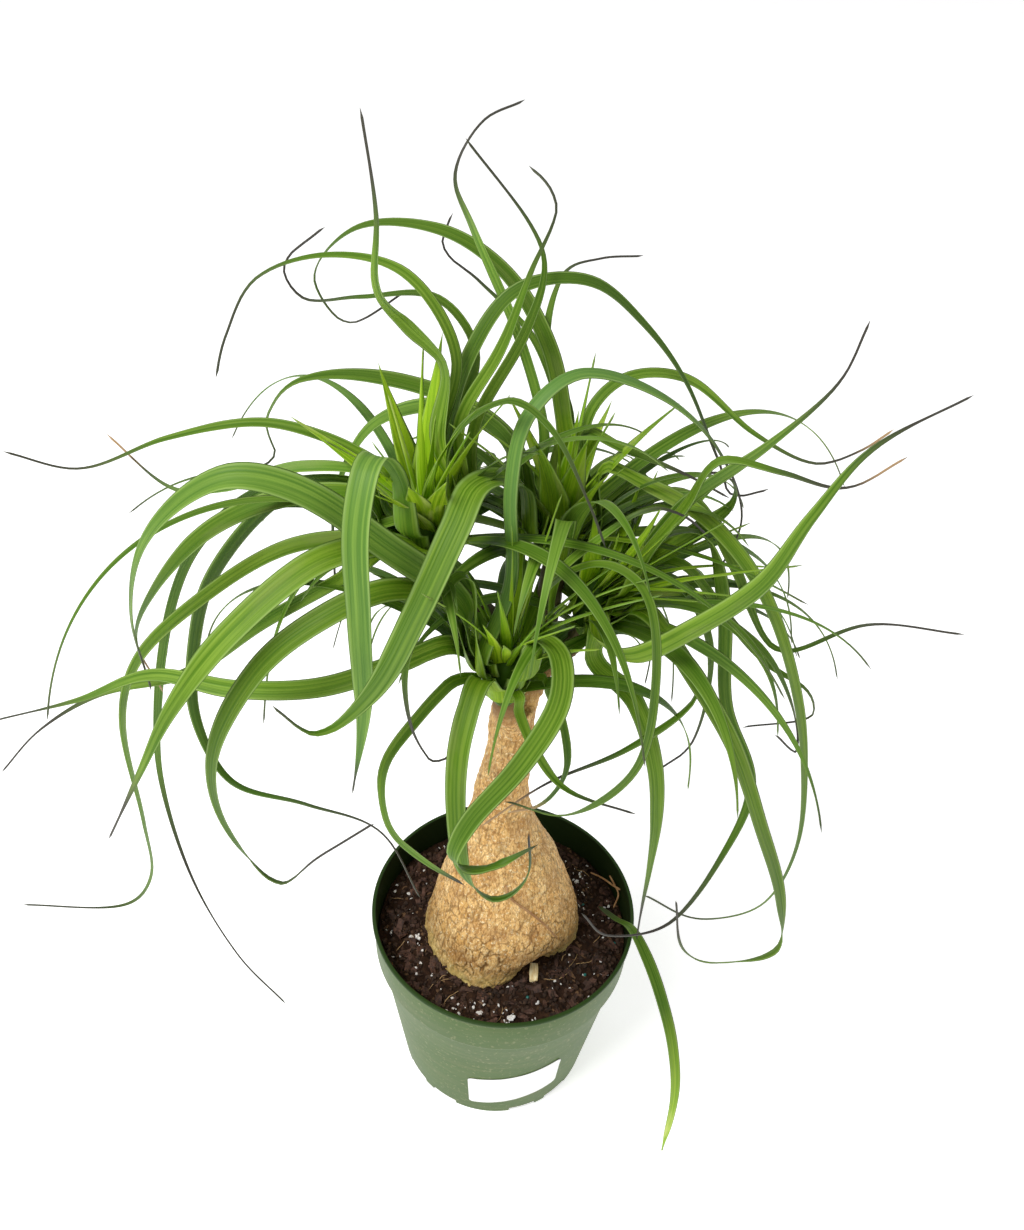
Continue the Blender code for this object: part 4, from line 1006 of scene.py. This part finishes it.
def makeFallen(material):
    middles, across = ringsOf("leaf_fallen", head=False)
    count = int(np.linalg.norm(np.diff(middles, axis=0), axis=1).sum() / leaf["step"])
    widths = np.linalg.norm(across, axis=1) * 2
    middles, across = smoothLine(middles, count), smoothLine(unitRows(across), count)
    share = np.linspace(0, 1, count)
    widths = smoothLine(widths[:, None], count)[:, 0] * (0.62 + 0.2 * share)
    widths *= np.clip(np.arange(count) * leaf["step"] / 16, 0.2, 1) ** 0.7
    widths = np.maximum(widths, leaf["tipWide"])
    youth = np.clip(1.25 - share * 2.2, 0, 1)
    foliage = Foliage()
    foliage.addBlade(middles, across, np.array([[0.6, -0.6, 0.5]]), widths, youth,
                     np.clip((share - 0.85) / 0.15, 0, 0.6), np.zeros(count),
                     0.7, np.full(count, 16.0))
    return foliage.become("blade_fallen", material, "leaf_green", "leaf_fallen")


def makeLeaves(material):
    rng = random.Random(leaf["seed"])
    for node in sorted(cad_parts):
        if node == "leaf_fallen":
            makeFallen(material)
        elif node.startswith("leaf_"):
            makeBlade(node, node.split("_")[1], material, rng)


# Young leaves at each growing tip: broad cupped ones outside, new spears within, and a skirt of
# older dark ones clasping the branch below
tuft = {
    "front": {"lean": (0.12, -0.25, 1.0), "broad": 4, "spears": 15, "longest": 115.0,
              "wide": (8.0, 11.0), "spread": (20, 45), "youth": 1.0},
    "left": {"lean": (-0.15, -0.3, 1.0), "broad": 8, "spears": 10, "longest": 88.0,
             "wide": (15.0, 18.0), "spread": (16, 46), "youth": 1.0},
    "top": {"lean": (0.05, -0.2, 1.0), "broad": 8, "spears": 8, "longest": 85.0,
            "wide": (14.0, 18.0), "spread": (8, 36), "youth": 0.75},
    "right": {"lean": (0.65, -0.15, 0.85), "broad": 6, "spears": 12, "longest": 110.0,
              "wide": (11.0, 14.0), "spread": (12, 40), "youth": 1.0},
    "skirt": {"front": 13, "left": 11, "top": 16, "right": 11}, "skirtLong": (65.0, 150.0),
    "skirtWide": (8.0, 12.5), "skirtLowest": 265.0, "skirtTries": 300, "seed": 21,
    "skirtGap": (3.6, 5.9)}         # turns left open on the front head, to show the trunk

# Inner leaves: the many thinner leaves behind the long ones, arching out and down
inner = {"count": {"front": 8, "left": 9, "top": 8, "right": 9}, "seed": 33,
         "long": (120.0, 250.0), "wide": (4.0, 9.5), "lowest": 150.0,
         "thinned": (-2.3, -0.8), "thinShare": 0.75}       # few hang over the trunk at the front

# The neck stays in view: no added leaf passes in front of it, this near its middle and this low
neckView = {"half": 34.0, "top": 335.0}


def arching(start, turn, rise, length, droop, swing, curl):    # a path that rises and falls over
    step = leaf["archStep"]
    points, place = [np.array(start, float)], np.array(start, float)
    count = max(int(length / step), 6)
    for index in range(count):
        share = index / count
        flat = math.cos(rise)
        place = place + step * np.array([math.cos(turn) * flat, math.sin(turn) * flat,
                                         math.sin(rise)])
        points.append(place.copy())
        rise -= droop * step * (0.35 + 1.3 * share) * max(math.cos(rise), 0.12)
        rise = max(rise, -1.5)
        turn += (swing + curl * share ** 3) * step
        rise += max(curl, 0) * 0.5 * share ** 4 * step
    return np.array(points)


def addArch(foliage, path, width, baseRadius, youthRun, seed, dark, upper, young):
    count = max(int((len(path) - 1) * leaf["archStep"] / leaf["archRing"]), 8)
    middles = smoothLine(path, count)
    tangents = unitRows(np.gradient(middles, axis=0))
    across = unitRows(np.cross(tangents, [0, 0, 1.0]) + 1e-6)
    for index in range(1, count):
        if (across[index] * across[index - 1]).sum() < 0:
            across[index] *= -1
    share = np.linspace(0, 1, count)
    length = share * np.linalg.norm(np.diff(path, axis=0), axis=1).sum()
    fall = np.clip(1 - np.clip((share - 0.35) / 0.65, 0, 1), 0, 1) ** 1.2
    swell = 0.8 + 0.2 * np.clip(length / 20, 0, 1)
    widths = np.maximum(width * swell * fall, leaf["tipWide"])
    sheath = np.clip(1 - length / 28, 0, 1)
    curl = baseRadius * sheath + width * 1.6 * (1 - sheath) + 0.5
    youth = np.clip(1.2 - length / youthRun, 0, 1) * young
    tipDark = np.clip((share - 0.78) / 0.22, 0, 1) * dark
    foliage.addBlade(middles, across, upper[None], widths, youth, tipDark, np.zeros(count), seed,
                     curl, faces=8 if width > 8 else 6 if width > 5 else 4,
                     thick=leaf["archThick"])


def axisFrame(lean):
    up = np.array(lean) / np.linalg.norm(lean)
    side = np.cross(up, [0, 1.0, 0])
    side /= np.linalg.norm(side)
    return up, side, np.cross(up, side)


# The solid heart that the leaves of a head clasp
heartShape = {"radius": 8.5, "half": 19.0, "sunk": 8.0, "segments": 20, "rings": 12}


def makeCore(head, material):
    heart = Vector(heartOf(head)) * millimetre
    clearSelection()
    bpy.ops.mesh.primitive_uv_sphere_add(segments=heartShape["segments"],
                                         ring_count=heartShape["rings"], radius=1.0)
    core = bpy.context.active_object
    core.name = "core" + head.title()
    editAll()
    radius, half = heartShape["radius"] * millimetre, heartShape["half"] * millimetre
    bpy.ops.transform.resize(value=(radius, radius, half))
    bpy.ops.transform.translate(value=heart - Vector((0, 0, heartShape["sunk"] * millimetre)))
    bpy.ops.object.mode_set(mode="OBJECT")
    bpy.ops.object.shade_smooth()
    return finishPiece(core, material, "leaf_green")


def makeTuft(head, material):
    rng = random.Random(tuft["seed"] + heads.index(head))
    heart = heartOf(head)
    shape = tuft[head]
    up, side, ahead = axisFrame(shape["lean"])
    foliage = Foliage()
    count = shape["broad"] + shape["spears"]
    for index in range(count):
        broad = index < shape["broad"]
        share = index / (count - 1)                  # 0 outermost, 1 the newest
        turn = index * goldenTurn + rng.uniform(-0.25, 0.25)
        outward = math.cos(turn) * side + math.sin(turn) * ahead
        reach = 7.0 * (1 - share) + 1.0              # how far out it stands
        start = heart + outward * reach * 0.6 + up * (-12 + 12 * share)
        spread = math.radians(rng.uniform(*shape["spread"]) if broad else rng.uniform(2, 34))
        if broad:                                    # those in front stand up more
            spread *= 1 - 0.6 * max(0.0, -outward[1])
        length = rng.uniform(60, 98) if broad else shape["longest"] * rng.uniform(0.5, 1.0)
        bend = 0.02 if broad else rng.uniform(0.0, 0.045) * (1 - max(0.0, -outward[1]))
        path, place = [start], start.copy()
        for step in range(max(int(length / leaf["archStep"]), 6)):
            lean = spread * (1 - 0.8 * math.exp(-step / 3.5)) + bend * step
            heading = up * math.cos(lean) + outward * math.sin(lean)
            place = place + leaf["archStep"] * heading / np.linalg.norm(heading)
            path.append(place.copy())
        width = rng.uniform(*shape["wide"]) if broad else rng.uniform(3.2, 6.5)
        addArch(foliage, np.array(path), width, reach + 1.5, 150 if broad else 90,
                rng.random() * 0.4, 0.25, -outward + 0.4 * up, shape["youth"])
    return foliage.become("tuft" + head.title(), material, "young_leaf", "heart_" + head)


def hidesTrunk(path):
    x, y, z = path.T
    return ((np.abs(x) < neckView["half"]) & (y < 0) & (z < neckView["top"])).any()


def makeSkirt(head, material):
    rng = random.Random(tuft["seed"] + 50 + heads.index(head))
    heart = heartOf(head)
    foliage = Foliage()
    gapFrom, gapTo = tuft["skirtGap"]
    made, tries = 0, 0
    while made < tuft["skirt"][head] and tries < tuft["skirtTries"]:
        tries += 1
        turn = (made * goldenTurn + rng.uniform(-0.5, 0.5)) % (2 * math.pi)
        if head == "front" and gapFrom < turn < gapTo:
            made += 1
            continue
        outward = np.array([math.cos(turn), math.sin(turn), 0])
        start = heart + outward * 5.0 + [0, 0, rng.uniform(-24, -12)]
        path = arching(start, turn, rng.uniform(0.5, 1.3), rng.uniform(*tuft["skirtLong"]),
                       rng.uniform(0.016, 0.03), rng.uniform(-0.004, 0.004), 0.0)
        if not insideBox(path) or path[:, 2].min() < tuft["skirtLowest"] or hidesTrunk(path):
            continue
        addArch(foliage, path, rng.uniform(*tuft["skirtWide"]), 8.0, rng.uniform(10, 30),
                rng.uniform(0.15, 0.85), 0.3, -outward + np.array([0, 0, 0.8]), 0.5)
        made += 1
    return foliage.become("skirt" + head.title(), material, "leaf_green")


def insideBox(path, margin=3.0):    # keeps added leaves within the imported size
    low, high = np.array(cadBox[0]) * 1000 + margin, np.array(cadBox[1]) * 1000 - margin
    return ((path > low) & (path < high)).all()


def makeInner(head, material):
    rng = random.Random(inner["seed"] + heads.index(head))
    heart = heartOf(head)
    foliage = Foliage()
    thinFrom, thinTo = inner["thinned"]
    made = 0
    while made < inner["count"][head]:
        turn = rng.uniform(0, 2 * math.pi)
        signed = turn - 2 * math.pi if turn > math.pi else turn
        if thinFrom < signed < thinTo and rng.random() < inner["thinShare"]:
            continue
        rise = rng.uniform(0.1, 0.75)
        length = rng.uniform(*inner["long"]) * (0.75 + 0.35 * rise)
        outward = np.array([math.cos(turn), math.sin(turn), 0])
        start = heart + outward * rng.uniform(5, 10) + [0, 0, rng.uniform(-14, 0)]
        path = arching(start, turn, rise, length, rng.uniform(0.008, 0.02),
                       rng.uniform(-0.004, 0.004), rng.uniform(-0.02, 0.02))
        if not insideBox(path) or path[:, 2].min() < inner["lowest"] or hidesTrunk(path):
            continue
        addArch(foliage, path, rng.uniform(*inner["wide"]), 9.0, rng.uniform(15, 45),
                rng.random(), 0.8, -outward + np.array([0, 0, 0.8]), 0.7)
        made += 1
    return foliage.become("inner" + head.title(), material, "leaf_green")


# Dry wisps: dead ends lying on the base and curling over the mix
wisps = {"onBase": [(0.0, -28.4, 194.7), (3.3, -31.2, 186.7), (14.6, -31.6, 175.7),
                    (24.0, -30.4, 163.1), (32.9, -28.0, 146.3)],
         "overMix": [(56, 40, 122), (63, 34, 125), (70, 26, 128), (73, 20, 133), (71, 15, 140)],
         "beside": [(67, 31, 132), (71, 26, 128), (73, 21, 125), (70, 14, 121)]}


def makeWisps():
    # Dead leaf ends, dried to straw
    straw = grainy("leaf end, dried to straw", "#8a5f35", "#caa273", 0.75, 3.3333, 0.1)
    count = 26
    foliage = Foliage()
    for index, line in enumerate(wisps.values()):
        path = smoothLine(np.array(line, float), count)
        tangents = unitRows(np.gradient(path, axis=0))
        outward = unitRows(path * [1, 1, 0])
        across = unitRows(np.cross(tangents, outward))
        widths = np.interp(np.linspace(0, 1, count), [0, 0.5, 1], [0.8, 1.5, 0.8])
        none = np.zeros(count)
        foliage.addBlade(path, across, outward[:1], widths, none, none, none, index * 0.3,
                         np.full(count, 4.0))
    return foliage.become("dryWisps", straw, "leaf_green")


makeWisps()
green = leafGreen()
makeLeaves(green)
for head in heads:
    makeCore(head, green)
    makeTuft(head, green)
    makeSkirt(head, green)
    makeInner(head, green)
print("leaves ready")

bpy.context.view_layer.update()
triangles = sum(len(p.vertices) - 2 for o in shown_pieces() if o.type == "MESH"
                for p in o.data.polygons)
print("triangles", triangles)
